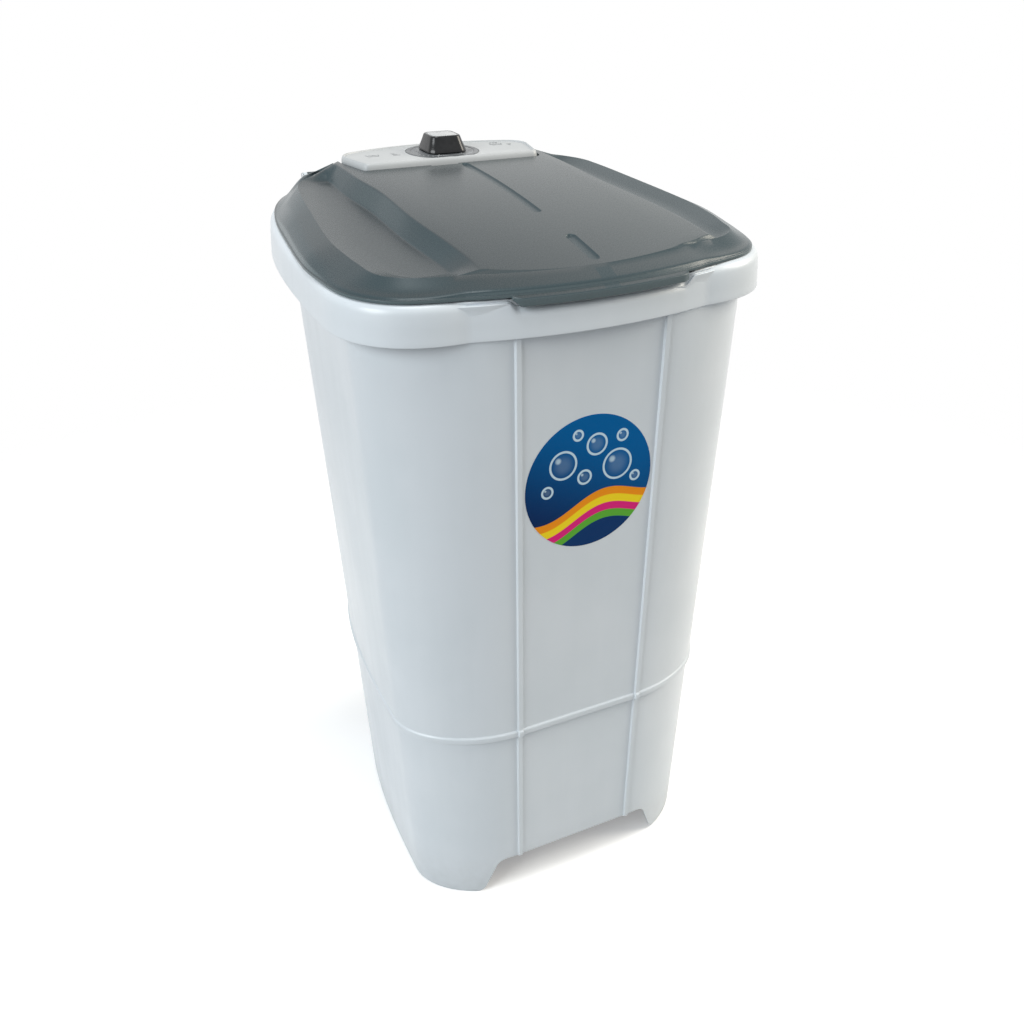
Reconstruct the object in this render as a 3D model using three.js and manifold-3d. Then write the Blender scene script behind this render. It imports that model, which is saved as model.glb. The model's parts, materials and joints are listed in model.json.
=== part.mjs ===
// Small top-loading washing machine with a moulded tub, in millimetres, +Z up.
// The origin is on the floor, at the middle of the overall box. The front faces -Y.
import * as THREE from 'three';
import { mergeVertices } from 'three/addons/utils/BufferGeometryUtils.js';
import Module from 'manifold-3d';

const wasm = await Module();
wasm.setup();

// Driving dimensions

const gap = 0.3; // between pieces that touch
const runGap = 0.3; // round a turning piece
const overrun = 6; // of a cutting tool past what it cuts
const bite = 1.5; // of a boss or rib into the wall that carries it

const rimWidth = 500;
const rimDepth = 514;
const rimHeight = 851; // above the floor, at mid depth
const rimSlopeShare = 0.013; // the rim rises to the back
const rimBand = 38.5; // height of the band below the rim's top
const rimSkin = 3;
const wall = 4; // of tub and skirt

const bodyDrop = 39; // from the rim's top to the level at which the body's top outline is stated
const bodyTop = rimHeight - bodyDrop;
const seamHeight = 296.7; // of the bead between tub and skirt
const archHeight = 64; // of the openings between the feet

const lidReach = 6; // of the handle lip past the rim's front
const rimFlare = 1; // of the band's lower edge
const yShift = (lidReach - rimFlare) / 2; // puts the overall box on the origin

const panelRise = 56; // of the control panel's front above the rim at mid depth

const beltDistance = 143; // from agitator shaft to motor shaft
const bigPulleyRadius = 105;
const smallPulleyRadius = 32;
const motorIn = 77; // from the skirt's back at the floor to the motor's shaft

// Finishes, with the colours seen on the machine

function finish(color, roughness, metalness = 0, extra = {}) {
  return new THREE.MeshStandardMaterial({ color, roughness, metalness, ...extra });
}

const greyPlastic = finish(0xc9d3d8, 0.42);
const panelPlastic = finish(0xc3c7c9, 0.4);
const smokyPlastic = finish(0x66706f, 0.12, 0, { transparent: true, opacity: 0.86 });
const blackGloss = finish(0x1c1e20, 0.15);
const silverPrint = finish(0x8f9496, 0.35, 0.3);
const whitePlastic = finish(0xe4e6e4, 0.45);
const darkPlastic = finish(0x2b2d2f, 0.55);
const zincSteel = finish(0xb4b8bb, 0.35, 0.9);
const brightSteel = finish(0xd0d3d5, 0.22, 1);
const castAlloy = finish(0xa6a9ab, 0.5, 0.8);
const stackSteel = finish(0x5c6064, 0.5, 0.8);
const bronze = finish(0x9c7a45, 0.4, 0.8);
const rubber = finish(0x1a1a1a, 0.85);

// Solids: every piece goes through one closed body

function solid(geometry) {
  const plain = geometry.clone();
  plain.deleteAttribute('normal');
  plain.deleteAttribute('uv');
  const merged = mergeVertices(plain, 1e-4);
  const place = merged.getAttribute('position');
  const index = merged.getIndex();
  const corners = [];
  let volume = 0;
  const [a, b, c] = [new THREE.Vector3(), new THREE.Vector3(), new THREE.Vector3()];
  for (let i = 0; i < index.count; i += 3) {
    const [p, q, r] = [index.getX(i), index.getX(i + 1), index.getX(i + 2)];
    if (p === q || q === r || r === p) continue;
    corners.push(p, q, r);
    a.fromBufferAttribute(place, p);
    b.fromBufferAttribute(place, q);
    c.fromBufferAttribute(place, r);
    volume += a.dot(b.cross(c));
  }
  if (volume < 0) corners.reverse();
  const mesh = new wasm.Mesh({
    numProp: 3,
    vertProperties: new Float32Array(place.array),
    triVerts: new Uint32Array(corners),
  });
  return new wasm.Manifold(mesh);
}

function joined(pieces) {
  return pieces.reduce((all, piece) => all.add(piece));
}

function cut(body, tools) {
  return tools.reduce((rest, tool) => rest.subtract(tool), body);
}

function geometryOf(body) {
  const { numProp, vertProperties, triVerts } = body.getMesh();
  const points = new Float32Array((vertProperties.length / numProp) * 3);
  for (let i = 0; i < points.length / 3; i += 1) {
    for (let k = 0; k < 3; k += 1) points[3 * i + k] = vertProperties[numProp * i + k];
  }
  const geometry = new THREE.BufferGeometry();
  geometry.setAttribute('position', new THREE.BufferAttribute(points, 3));
  geometry.setIndex(new THREE.BufferAttribute(new Uint32Array(triVerts), 1));
  return geometry;
}

const machine = new THREE.Group();
machine.position.y = yShift;

function place(name, body, material, parent = machine) {
  const geometry = geometryOf(body);
  geometry.computeVertexNormals();
  const mesh = new THREE.Mesh(geometry, material);
  mesh.name = name;
  parent.add(mesh);
  return mesh;
}

// Skins drawn through rings of equally many points, anticlockwise from above

function loft(rings, ends = 'capped') {
  const count = rings[0].length;
  const points = rings.flat();
  const faces = [];
  const levels = ends === 'looped' ? rings.length : rings.length - 1;
  for (let i = 0; i < levels; i += 1) {
    const low = i * count;
    const high = ((i + 1) % rings.length) * count;
    for (let j = 0; j < count; j += 1) {
      const next = (j + 1) % count;
      faces.push(low + j, low + next, high + next, low + j, high + next, high + j);
    }
  }
  if (ends === 'capped') {
    const last = (rings.length - 1) * count;
    const middle = (ring) => ring.reduce((sum, p) => sum.add(p), new THREE.Vector3()).divideScalar(count);
    const start = points.length;
    points.push(middle(rings[0]), middle(rings[rings.length - 1]));
    for (let j = 0; j < count; j += 1) {
      const next = (j + 1) % count;
      faces.push(start, next, j, start + 1, last + j, last + next);
    }
  }
  return skin(points, faces);
}

function skin(points, faces) {
  const geometry = new THREE.BufferGeometry().setFromPoints(points);
  geometry.setIndex(faces);
  return geometry;
}

function revolve(profile, sides) {
  const points = profile.map(([radius, height]) => new THREE.Vector2(radius, height));
  if (profile[0][0] !== 0) points.push(points[0].clone());
  return solid(new THREE.LatheGeometry(points, sides).rotateX(Math.PI / 2));
}

function rod(radius, low, high, sides = 16) {
  return revolve([[0, low], [radius, low], [radius, high], [0, high]], sides);
}

function sleeve(outer, inner, low, high, sides = 20) {
  return revolve([[outer, low], [outer, high], [inner, high], [inner, low]], sides);
}

function block(x0, x1, y0, y1, z0, z1) {
  const box = new THREE.BoxGeometry(x1 - x0, y1 - y0, z1 - z0);
  return solid(box.translate((x0 + x1) / 2, (y0 + y1) / 2, (z0 + z1) / 2));
}

function prism(outline, low, high) {
  const shape = new THREE.Shape(outline.map(([x, y]) => new THREE.Vector2(x, y)));
  const body = new THREE.ExtrudeGeometry(shape, { depth: high - low, bevelEnabled: false });
  return solid(body.translate(0, 0, low));
}

function moved(body, x, y, z = 0) {
  return body.translate([x, y, z]);
}

// Plan outlines: a flat or bowed front, a rounded corner to the widest point, a long side and a flat back

const rib = { x: 87, width: 8, height: 2.6, edge: 1.5 };

const rimPlan = {
  like: 'rim',
  front: rimDepth / 2,
  back: rimDepth / 2,
  half: rimWidth / 2,
  wideY: -129,
  panelHalf: 136,
  bow: 16.6,
  backHalf: 148,
  backBow: 2,
  frontPower: 2.4,
  backPower: 2.44,
};

const overhang = { front: 12, back: 15, side: 16.3 }; // of the rim past the body
const taper = { front: 1, back: 38, side: 16.2 }; // of the body from its top outline to the floor

const topPlan = {
  like: 'body',
  front: rimPlan.front - overhang.front,
  back: rimPlan.back - overhang.back,
  half: rimPlan.half - overhang.side,
  wideY: -151,
  panelHalf: rib.x + rib.width / 2,
  bow: 0,
  backHalf: 117,
  backBow: 0,
  frontPower: 1.85,
  backPower: 2.44,
};

const floorPlan = {
  ...topPlan,
  front: topPlan.front - taper.front,
  back: topPlan.back - taper.back,
  half: topPlan.half - taper.side,
};

const motorY = floorPlan.back - motorIn;
const agitatorY = motorY - beltDistance;

const planSteps = { front: 8, corner: 40, back: 60 };
const stepCount = 18;
const turnShare = 0.55; // of the steps that go to the corners
const handleDip = { x: 10, half: 94.5, run: 14, depth: 9 };
const dipEnd = handleDip.half + handleDip.run;

function bodyPlan(height) {
  const share = 1 - height / bodyTop;
  const between = (key) => topPlan[key] + (floorPlan[key] - topPlan[key]) * share;
  return { ...topPlan, front: between('front'), back: between('back'), half: between('half') };
}

function halfPath(plan) {
  const path = [];
  for (let i = 0; i <= planSteps.front; i += 1) {
    const share = i / planSteps.front;
    path.push([plan.panelHalf * share, plan.bow * share ** 2 - plan.front]);
  }
  const cornerX = plan.half - plan.panelHalf;
  const cornerY = plan.wideY + plan.front - plan.bow;
  for (let i = 1; i <= planSteps.corner; i += 1) {
    const turn = (Math.PI / 2) * (i / planSteps.corner);
    const along = Math.sin(turn) ** (2 / plan.frontPower);
    const across = Math.cos(turn) ** (2 / plan.frontPower);
    path.push([plan.panelHalf + cornerX * along, plan.wideY - cornerY * across]);
  }
  const backX = plan.half - plan.backHalf;
  const backY = plan.back - plan.backBow - plan.wideY;
  for (let i = 1; i <= planSteps.back; i += 1) {
    const turn = (Math.PI / 2) * (i / planSteps.back);
    const across = Math.cos(turn) ** (2 / plan.backPower);
    const along = Math.sin(turn) ** (2 / plan.backPower);
    path.push([plan.backHalf + backX * across, plan.wideY + backY * along]);
  }
  path.push([0, plan.back]);
  return path;
}

function alongX(path, x) {
  const i = path.findIndex((point, k) => k > 0 && point[0] >= x);
  const [x0, y0] = path[i - 1];
  const [x1, y1] = path[i];
  return [x, y0 + (y1 - y0) * ((x - x0) / (x1 - x0))];
}

// Steps along a path from a half-width to the back, closer together where it turns
function stepsAlong(path, x, count) {
  const first = path.findIndex(([px], i) => i > planSteps.front && px > x);
  const heading = (i) => Math.atan2(path[i + 1][1] - path[i][1], path[i + 1][0] - path[i][0]);
  const length = (i) => Math.hypot(path[i][0] - path[i - 1][0], path[i][1] - path[i - 1][1]);
  let total = 0;
  for (let i = first + 1; i < path.length; i += 1) total += length(i);
  const costs = [0];
  for (let i = first + 1; i < path.length; i += 1) {
    const turn = Math.abs(heading(i - 1) - heading(i - 2));
    const before = costs[costs.length - 1];
    costs.push(before + ((1 - turnShare) * length(i)) / total + (turnShare * turn) / Math.PI);
  }
  const picked = [];
  for (let n = 1; n <= count; n += 1) {
    const want = (costs[costs.length - 1] * n) / (count + 1);
    const i = costs.findIndex((cost) => cost >= want);
    picked.push([first + i, (want - costs[i - 1]) / (costs[i] - costs[i - 1])]);
  }
  return picked;
}

// Half-widths at which the front changes: both edges of a rib, and the ends of the handle's dip
const ribSteps = [-rib.width / 2, rib.edge - rib.width / 2, rib.width / 2 - rib.edge, rib.width / 2];
const dipSteps = [dipEnd - handleDip.x, handleDip.half + handleDip.x, dipEnd + handleDip.x];
const crossings = [...ribSteps.map((dx) => rib.x + dx), ...dipSteps].sort((a, b) => a - b);
const sideSteps = {
  rim: stepsAlong(halfPath(rimPlan), Math.max(...crossings), stepCount),
  body: stepsAlong(halfPath(topPlan), Math.max(...crossings), stepCount),
};

function ribShare(x) {
  return Math.min(1, Math.max(0, (rib.width / 2 - Math.abs(x - rib.x)) / rib.edge));
}

// One ring: front middle, ribs and dip, then steps along side and back, and the mirror image
function planRing(plan, inset = 0, ribHeight = 0) {
  const path = halfPath(plan);
  const half = [path[0], alongX(path, rib.x / 2), ...crossings.map((x) => alongX(path, x))];
  const outs = [0, 0, ...crossings.map((x) => ribHeight * ribShare(x))];
  for (const [i, share] of sideSteps[plan.like]) {
    const [[x0, y0], [x1, y1]] = [path[i - 1], path[i]];
    half.push([x0 + (x1 - x0) * share, y0 + (y1 - y0) * share]);
  }
  half.push(path[path.length - 1]);
  const mirror = half.slice(1, -1).reverse().map(([x, y]) => [-x, y]);
  const ring = [...half, ...mirror];
  return ring.map(([x, y], i) => {
    const [px, py] = ring[(i + ring.length - 1) % ring.length];
    const [nx, ny] = ring[(i + 1) % ring.length];
    const length = Math.hypot(nx - px, ny - py);
    const near = Math.min(i, (ring.length - i) % ring.length);
    const shift = inset - (outs[near] ?? 0);
    return [x - (shift * (ny - py)) / length, y + (shift * (nx - px)) / length];
  });
}

function rimLine(y) {
  return rimHeight + rimSlopeShare * y;
}

function lifted(ring, heightOf) {
  const at = typeof heightOf === 'number' ? () => heightOf : heightOf;
  return ring.map(([x, y]) => new THREE.Vector3(x, y, at(x, y)));
}

function wallRing(height, inset = 0, ribHeight = 0) {
  return lifted(planRing(bodyPlan(height), inset, ribHeight), height);
}

function dipAt(x, y) {
  if (y > 0) return 0;
  const share = (dipEnd - Math.abs(x - handleDip.x)) / handleDip.run;
  return handleDip.depth * Math.min(1, Math.max(0, share));
}

// A ring that follows the rim's slope, and its dip where asked
function rimRing(plan, inset, below, dipShare = 0, ribHeight = 0) {
  return lifted(planRing(plan, inset, ribHeight), (x, y) => rimLine(y) - below - dipShare * dipAt(x, y));
}

// Half-width of the body at a height and a depth, less an inset
function wallX(height, y, inset = 0) {
  const path = halfPath(bodyPlan(height));
  const i = path.findIndex((point, k) => k > planSteps.front && point[1] >= y);
  const [x0, y0] = path[i - 1];
  const [x1, y1] = path[i];
  return x0 + ((x1 - x0) * (y - y0)) / (y1 - y0) - inset;
}

// Tub: one moulding with a hollow rolled rim, a rear shelf for the panel and a floor at the bead

const bead = { height: 8, out: 2.2, fade: 2 };
const tubFloor = { under: seamHeight + 8.3, thick: 4, fillet: 26 };
const floorTop = tubFloor.under + tubFloor.thick;
const roll = { lip: 6, inner: 1, top: 11, shoulder: 6, edge: 2, drop: 14, flareHeight: 9 };
const channel = { wallDrop: 10, roof: 4.5, roofIn: 8, cornerIn: 3.5, cornerDrop: 9 };
const padSize = { radius: 58, height: 8 };
const padTop = floorTop + padSize.height;
const lipBottom = seamHeight - bead.height / 2;

const panel = {
  front: rimPlan.back - 143.5, frontHalf: 113, side: rimPlan.back - 92, sideHalf: 124,
  rear: rimPlan.back - 66, rearHalf: 107, back: rimPlan.back - 46.5,
  top: rimHeight + panelRise, slopeShare: 0.013,
};
const shelf = { front: panel.front + 8.5, below: 20, thick: 4, flange: 14 };
const wireHole = { radius: 6, below: 11 };

function tubShell() {
  const rings = [
    wallRing(tubFloor.under, wall + tubFloor.fillet),
    wallRing(tubFloor.under, wall),
    wallRing(lipBottom, wall),
    wallRing(lipBottom, -bead.out, rib.height),
    wallRing(seamHeight + bead.height / 2, -bead.out, rib.height),
    wallRing(seamHeight + bead.height / 2 + bead.fade, 0, rib.height),
    rimRing(bodyPlan(bodyTop), 0, channel.wallDrop, 1, rib.height),
    rimRing(bodyPlan(bodyTop), -roll.inner, channel.roof, 1),
    rimRing(rimPlan, channel.roofIn, channel.roof, 1),
    rimRing(rimPlan, channel.cornerIn, channel.cornerDrop, 1),
    rimRing(rimPlan, rimSkin, rimBand - roll.flareHeight),
    rimRing(rimPlan, rimSkin - rimFlare, rimBand),
    rimRing(rimPlan, -rimFlare, rimBand),
    rimRing(rimPlan, 0, rimBand - roll.flareHeight),
    rimRing(rimPlan, 0, roll.drop, 1 / 2),
    rimRing(rimPlan, roll.edge, roll.shoulder, 1),
    rimRing(rimPlan, roll.shoulder, bite, 1),
    rimRing(rimPlan, roll.top, 0, 1),
    rimRing(bodyPlan(bodyTop), roll.inner, bite),
    rimRing(bodyPlan(bodyTop), wall, roll.lip),
    wallRing(floorTop + tubFloor.fillet, wall),
    wallRing(floorTop + tubFloor.fillet / 3, wall + tubFloor.fillet / 5),
    wallRing(floorTop, wall + tubFloor.fillet),
  ];
  return solid(loft(rings));
}

// The strip of a closed plan behind a depth, at a level below the rim
function rearStrip(inset, frontY, below, thick) {
  const ring = planRing(bodyPlan(bodyTop), inset);
  const behind = ring.filter(([, y]) => y > frontY);
  const first = ring.find(([, y]) => y > frontY);
  const outline = [[first[0], frontY], ...behind, [-first[0], frontY]];
  const low = lifted(outline, (x, y) => rimLine(y) - below - thick);
  const high = lifted(outline, (x, y) => rimLine(y) - below);
  return solid(loft([low, high]));
}

const hinge = {
  y: rimPlan.back - 7,
  rise: 20,
  x: 140.5,
  knuckle: 14,
  ear: 5,
  earRadius: 5,
  knuckleRadius: 5.5,
  pinRadius: 2.5,
  root: 2.5,
  lidEdge: 6.5,
  headRadius: 4.2,
  head: 1.6,
};
const hingeZ = rimLine(hinge.y) + hinge.rise;

const bossSize = { radius: 7, pilot: 2.3, depth: 14 };
const screwSize = { shank: 2, length: 13, head: 4.6, headHeight: 3, sides: 8 };
const bossY = { front: -110, back: 120 };
const tubBosses = [bossY.front, bossY.back].flatMap((y) => [-1, 1].map((side) => [side, y]));
const skirtFlange = { width: 22, thick: 4 };
const skirtTop = lipBottom - gap;
const skirtInset = 2;

function tubBossAt([side, y]) {
  return [side * (wallX(skirtTop, y) - skirtInset - wall - skirtFlange.width / 2), y];
}

const floorHole = 22.4;
const housing = {
  flange: 54, flangeThick: 6, nose: 22, tube: 17, low: tubFloor.under - 65, seat: 10.3, screwRing: 40,
};
const beltLevel = housing.low - 18;
const housingScrews = [90, 210, 330].map((degrees) => THREE.MathUtils.degToRad(degrees));
const bracket = {
  half: 80, thick: 3, foot: 32, width: 76, hub: 24, hold: 10, padX: 98, boltY: 22, post: 12,
};
const motorPads = [-bracket.padX, bracket.padX];
const motorBolts = [motorY - bracket.boltY, motorY + bracket.boltY];
const pad = { thick: 6, width: 22, length: 70 };
const mountTop = tubFloor.under - bracket.post;
const footTop = mountTop - pad.thick - 2 * gap;
const drain = {
  x: (bracket.padX + topPlan.half) / 2 - 19.85, y: 62, pipe: 14, bore: 11, flange: 24, flangeThick: 3,
  level: tubFloor.under - 43, bend: 24, out: 22, bendSteps: 4, barb: 1, sides: 14,
};
const barbShares = { start: 0.75, first: 0.7, second: 0.3, length: 0.25 };
const clampAt = { x: 17.35 - (bigPulleyRadius + topPlan.half) / 2, y: 30 };

const filter = {
  y: 20, width: 98, height: 150, thick: 4, low: bodyTop - 338, off: 9, bar: 3, cell: 14, tab: 12,
};
const rail = { width: 10, lip: 4, slot: 5, foot: 6, high: filter.low + filter.height + 26 };
const filterX = wallX(filter.low, filter.y, wall) - filter.off;

function filterRails() {
  const outerX = wallX(rail.high, filter.y, wall) + bite;
  const innerX = filterX - filter.thick - rail.lip - gap;
  const slotLow = filterX - filter.thick - gap;
  const pieces = [-1, 1].map((side) => {
    const edge = filter.y + side * (filter.width / 2 + gap);
    const inside = edge - side * rail.slot;
    const outside = edge + side * (rail.width - rail.slot);
    const [y0, y1] = [Math.min(inside, outside), Math.max(inside, outside)];
    const bar = block(innerX, outerX, y0, y1, filter.low - rail.foot, rail.high);
    const [s0, s1] = [Math.min(inside - side * overrun, edge), Math.max(inside - side * overrun, edge)];
    const slot = block(slotLow, filterX + gap, s0, s1, filter.low - gap, rail.high + overrun);
    return bar.subtract(slot);
  });
  return joined(pieces);
}

function tubBody() {
  const ears = [-1, 1].flatMap((side) => [-1, 1].map((end) => {
    const middle = side * hinge.x + end * (hinge.knuckle / 2 + gap + hinge.ear / 2);
    const [x0, x1] = [middle - hinge.ear / 2, middle + hinge.ear / 2];
    const low = rimLine(hinge.y) - hinge.root;
    const stem = block(x0, x1, hinge.y - hinge.earRadius, hinge.y + hinge.earRadius, low, hingeZ);
    return stem.add(rod(hinge.earRadius, x0, x1, 20).rotate([0, 90, 0]).translate([0, hinge.y, hingeZ]));
  }));
  const earHole = rod(hinge.pinRadius + gap, -rimWidth / 2, rimWidth / 2, 12);
  const bosses = tubBosses.map((at) => {
    const post = rod(bossSize.radius, skirtTop + gap, tubFloor.under + bite);
    return moved(post, ...tubBossAt(at));
  });
  const pilots = tubBosses.map((at) => {
    const hole = rod(bossSize.pilot, skirtTop - overrun, skirtTop + bossSize.depth, screwSize.sides);
    return moved(hole, ...tubBossAt(at));
  });
  const floorPad = moved(rod(padSize.radius, tubFloor.under + bite, padTop, 40), 0, agitatorY);
  const floorCut = moved(rod(floorHole, tubFloor.under - overrun, padTop + overrun, 24), 0, agitatorY);
  const padPilots = housingScrews.map((turn) => {
    const hole = rod(bossSize.pilot, tubFloor.under - overrun, padTop - wall / 2, screwSize.sides);
    return moved(hole, housing.screwRing * Math.cos(turn), agitatorY + housing.screwRing * Math.sin(turn));
  });
  const mountPosts = motorPads.flatMap((x) => motorBolts.map((y) => {
    const post = rod(bossSize.radius, mountTop, tubFloor.under + bite);
    const hole = rod(bossSize.pilot, mountTop - overrun, tubFloor.under + wall / 2, screwSize.sides);
    return [moved(post, x, y), moved(hole, x, y)];
  }));
  const shelfPlate = rearStrip(roll.inner + bite, shelf.front, shelf.below, shelf.thick);
  const shelfLip = rearStrip(roll.inner + bite, shelf.front, shelf.below, shelf.flange)
    .subtract(block(-rimWidth, rimWidth, shelf.front + shelf.thick, rimDepth, 0, rimHeight * 2));
  const drainCut = rod(drain.bore, tubFloor.under - overrun, floorTop + overrun, 20);
  const drainHole = moved(drainCut, drain.x, drain.y);
  const wires = rod(wireHole.radius, topPlan.back - wall - overrun, topPlan.back + wall, 12)
    .rotate([-90, 0, 0]).translate([0, 0, rimLine(topPlan.back) - shelf.below + wireHole.below]);
  const panelPilots = panelScrews.map(([x, y]) => {
    return moved(rod(screwSize.shank + gap, rimHeight - rimBand, rimHeight, screwSize.sides), x, y);
  });
  const body = joined([
    tubShell(), ...ears, ...bosses, floorPad, ...mountPosts.map(([post]) => post),
    shelfPlate, shelfLip, filterRails(),
  ]);
  const tools = [
    earHole.rotate([0, 90, 0]).translate([0, hinge.y, hingeZ]), ...pilots, floorCut, ...padPilots,
    ...mountPosts.map(([, hole]) => hole), drainHole, wires, ...panelPilots,
  ];
  return cut(body, tools);
}

// Base skirt: stands on its long sides, arched at front and back, with an inward flange under the tub

const arch = { foot: 147, shoulder: 118, footRound: 7, topRound: 12 };
const skirtEdge = { round: 5, in: 1.5 };
const gland = { x: -70, z: 150, hole: 9, flange: 13, thick: 3, tail: 12, tailIn: 2, skin: 5, through: 38.5 };
const duct = { half: 24, depth: 13, skin: 2, wing: 9, low: seamHeight - 34.7, belowRim: 52 };
const coverPlate = {
  low: archHeight + 2, thick: 3, edge: 3, slot: 8, slotLength: 60, slotPitch: 22, rows: 9,
};
const coverBossY = 105;
const coverBosses = [-coverBossY, coverBossY].flatMap((y) => [-1, 1].map((side) => [side, y]));
const coverBoss = { radius: 8, height: 24, lap: 2 };

function coverBossAt([side, y]) {
  return [side * (wallX(coverPlate.low, y) - skirtInset - wall - coverBoss.radius + coverBoss.lap), y];
}

function archCutter(y0, y1) {
  const profile = new THREE.Shape();
  profile.moveTo(-arch.foot, -overrun);
  profile.lineTo(-arch.foot, 0);
  const { foot, shoulder, footRound, topRound } = arch;
  profile.quadraticCurveTo(footRound - foot, footRound / 2, footRound - foot, footRound);
  profile.lineTo(-shoulder - topRound / 2, archHeight - topRound);
  profile.quadraticCurveTo(-shoulder, archHeight, topRound - shoulder, archHeight);
  profile.lineTo(shoulder - topRound, archHeight);
  profile.quadraticCurveTo(shoulder, archHeight, shoulder + topRound / 2, archHeight - topRound);
  profile.lineTo(foot - footRound, footRound);
  profile.quadraticCurveTo(foot - footRound, footRound / 2, foot, 0);
  profile.lineTo(foot, -overrun);
  const body = new THREE.ExtrudeGeometry(profile, { depth: y1 - y0, bevelEnabled: false, curveSegments: 4 });
  return solid(body.rotateX(Math.PI / 2).translate(0, y1, 0));
}

function baseSkirt() {
  const rings = [
    wallRing(0, skirtInset + skirtEdge.in, rib.height),
    wallRing(skirtEdge.round, skirtInset, rib.height),
    wallRing(skirtTop, skirtInset, rib.height),
    wallRing(skirtTop, skirtInset + wall + skirtFlange.width),
    wallRing(skirtTop - skirtFlange.thick, skirtInset + wall + skirtFlange.width),
    wallRing(skirtTop - skirtFlange.thick, skirtInset + wall),
    wallRing(0, skirtInset + wall),
  ];
  const posts = coverBosses.map((at) => {
    const low = coverPlate.low + coverPlate.thick + gap;
    return moved(rod(coverBoss.radius, low, low + coverBoss.height), ...coverBossAt(at));
  });
  const pilots = coverBosses.map((at) => {
    const high = coverPlate.low + coverPlate.thick + bossSize.depth;
    return moved(rod(bossSize.pilot, coverPlate.low, high, screwSize.sides), ...coverBossAt(at));
  });
  const screwHoles = tubBosses.map((at) => {
    const low = skirtTop - skirtFlange.thick - overrun;
    return moved(rod(bossSize.pilot, low, skirtTop + overrun, screwSize.sides), ...tubBossAt(at));
  });
  const back = (radius, x, z) => rod(radius, 0, rimDepth, 20).rotate([-90, 0, 0]).translate([x, 0, z]);
  const holes = [
    back(drain.pipe + gap, drain.x, drain.level),
    back(gland.hole + gap, gland.x, gland.z),
    back(wireHole.radius, 0, duct.low + duct.wing),
  ];
  const depth = rimDepth / 2;
  const openings = [archCutter(-depth, -depth / 2), archCutter(depth / 2, depth)];
  const body = joined([solid(loft(rings, 'looped')), ...posts]);
  return cut(body, [...pilots, ...screwHoles, ...holes, ...openings]);
}

function bottomCover() {
  const ring = planRing(bodyPlan(coverPlate.low), skirtInset + wall + coverPlate.edge);
  const plate = prism(ring, coverPlate.low, coverPlate.low + coverPlate.thick);
  const high = coverPlate.low + coverPlate.thick + overrun;
  const holes = coverBosses.map((at) => {
    return moved(rod(bossSize.pilot, 0, high, screwSize.sides), ...coverBossAt(at));
  });
  const slots = [];
  for (let i = 0; i < coverPlate.rows; i += 1) {
    const y = motorY + (i - coverPlate.rows + 2) * coverPlate.slotPitch;
    for (const side of [-1, 1]) {
      const x = side * coverPlate.slotLength;
      const [x0, x1] = [x - coverPlate.slotLength / 2, x + coverPlate.slotLength / 2];
      slots.push(block(x0, x1, y - coverPlate.slot / 2, y + coverPlate.slot / 2, 0, high));
    }
  }
  return cut(plate, [...holes, ...slots]);
}

// Screws: a domed head below or above a plain shank

const { shank: plainShank, head: plainHead, headHeight } = screwSize;

function screw(length = screwSize.length, shank = plainShank, head = plainHead, rise = headHeight) {
  const profile = [
    [0, -length],
    [shank, -length],
    [shank, 0],
    [head, 0],
    [head, rise / 2],
    [head / 2, rise],
    [0, rise],
  ];
  return revolve(profile, screwSize.sides);
}

function screwUp(body, x, y, seat) {
  return body.rotate([180, 0, 0]).translate([x, y, seat - gap]);
}

// Control panel: a moulded cap with a raised edge round a sunken field

const panelEdge = { corner: 7, draft: 1.5, ledge: 4, ledgeEdge: 0.8, sink: 1.6, skin: 3, steps: 3 };
const panelRound = [[0, 6], [0.6, 2.4], [2.4, 0]];
const panelBoss = { radius: 6 };
const panelScrew = { x: panel.sideHalf - 32, y: panel.side - 19 };
const panelScrews = [[-panelScrew.x, panelScrew.y], [panelScrew.x, panelScrew.y]];
const panelMiddleY = (panel.front + panel.back) / 2;

function panelTop(y) {
  return panel.top + panel.slopeShare * (y - panel.front);
}

function panelOutline() {
  const { corner } = panelEdge;
  const shape = new THREE.Shape();
  shape.moveTo(0, panel.front);
  shape.lineTo(panel.frontHalf - corner, panel.front);
  shape.quadraticCurveTo(panel.frontHalf, panel.front, panel.frontHalf + bite, panel.front + corner);
  shape.lineTo(panel.sideHalf, panel.side);
  shape.quadraticCurveTo(panel.sideHalf, panel.rear - corner, panel.rearHalf, panel.rear);
  shape.quadraticCurveTo(panel.rearHalf / 2, panel.back, 0, panel.back);
  const half = shape.getPoints(panelEdge.steps).map(({ x, y }) => [x, y]);
  return [...half, ...half.slice(1, -1).reverse().map(([x, y]) => [-x, y])];
}

function panelRing(inset, heightOf) {
  const shareX = 1 - inset / panel.sideHalf;
  const shareY = 1 - inset / (panel.back - panelMiddleY);
  const ring = panelOutline().map(([x, y]) => [x * shareX, panelMiddleY + (y - panelMiddleY) * shareY]);
  return lifted(ring, heightOf);
}

function shelfTop(x, y) {
  return rimLine(y) - shelf.below;
}

const dial = { x: 4, y: panelMiddleY, outer: 42.5, inner: 20, edge: 1.2, height: 2.4, top: 40 };
const fieldTop = (x, y) => panelTop(y) - panelEdge.sink;
const panelTilt = Math.atan(panel.slopeShare);
const timer = { half: 24, depth: 22, height: 34, bore: 12, shaft: 3, screwX: 15, screwHead: 4 };

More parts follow.
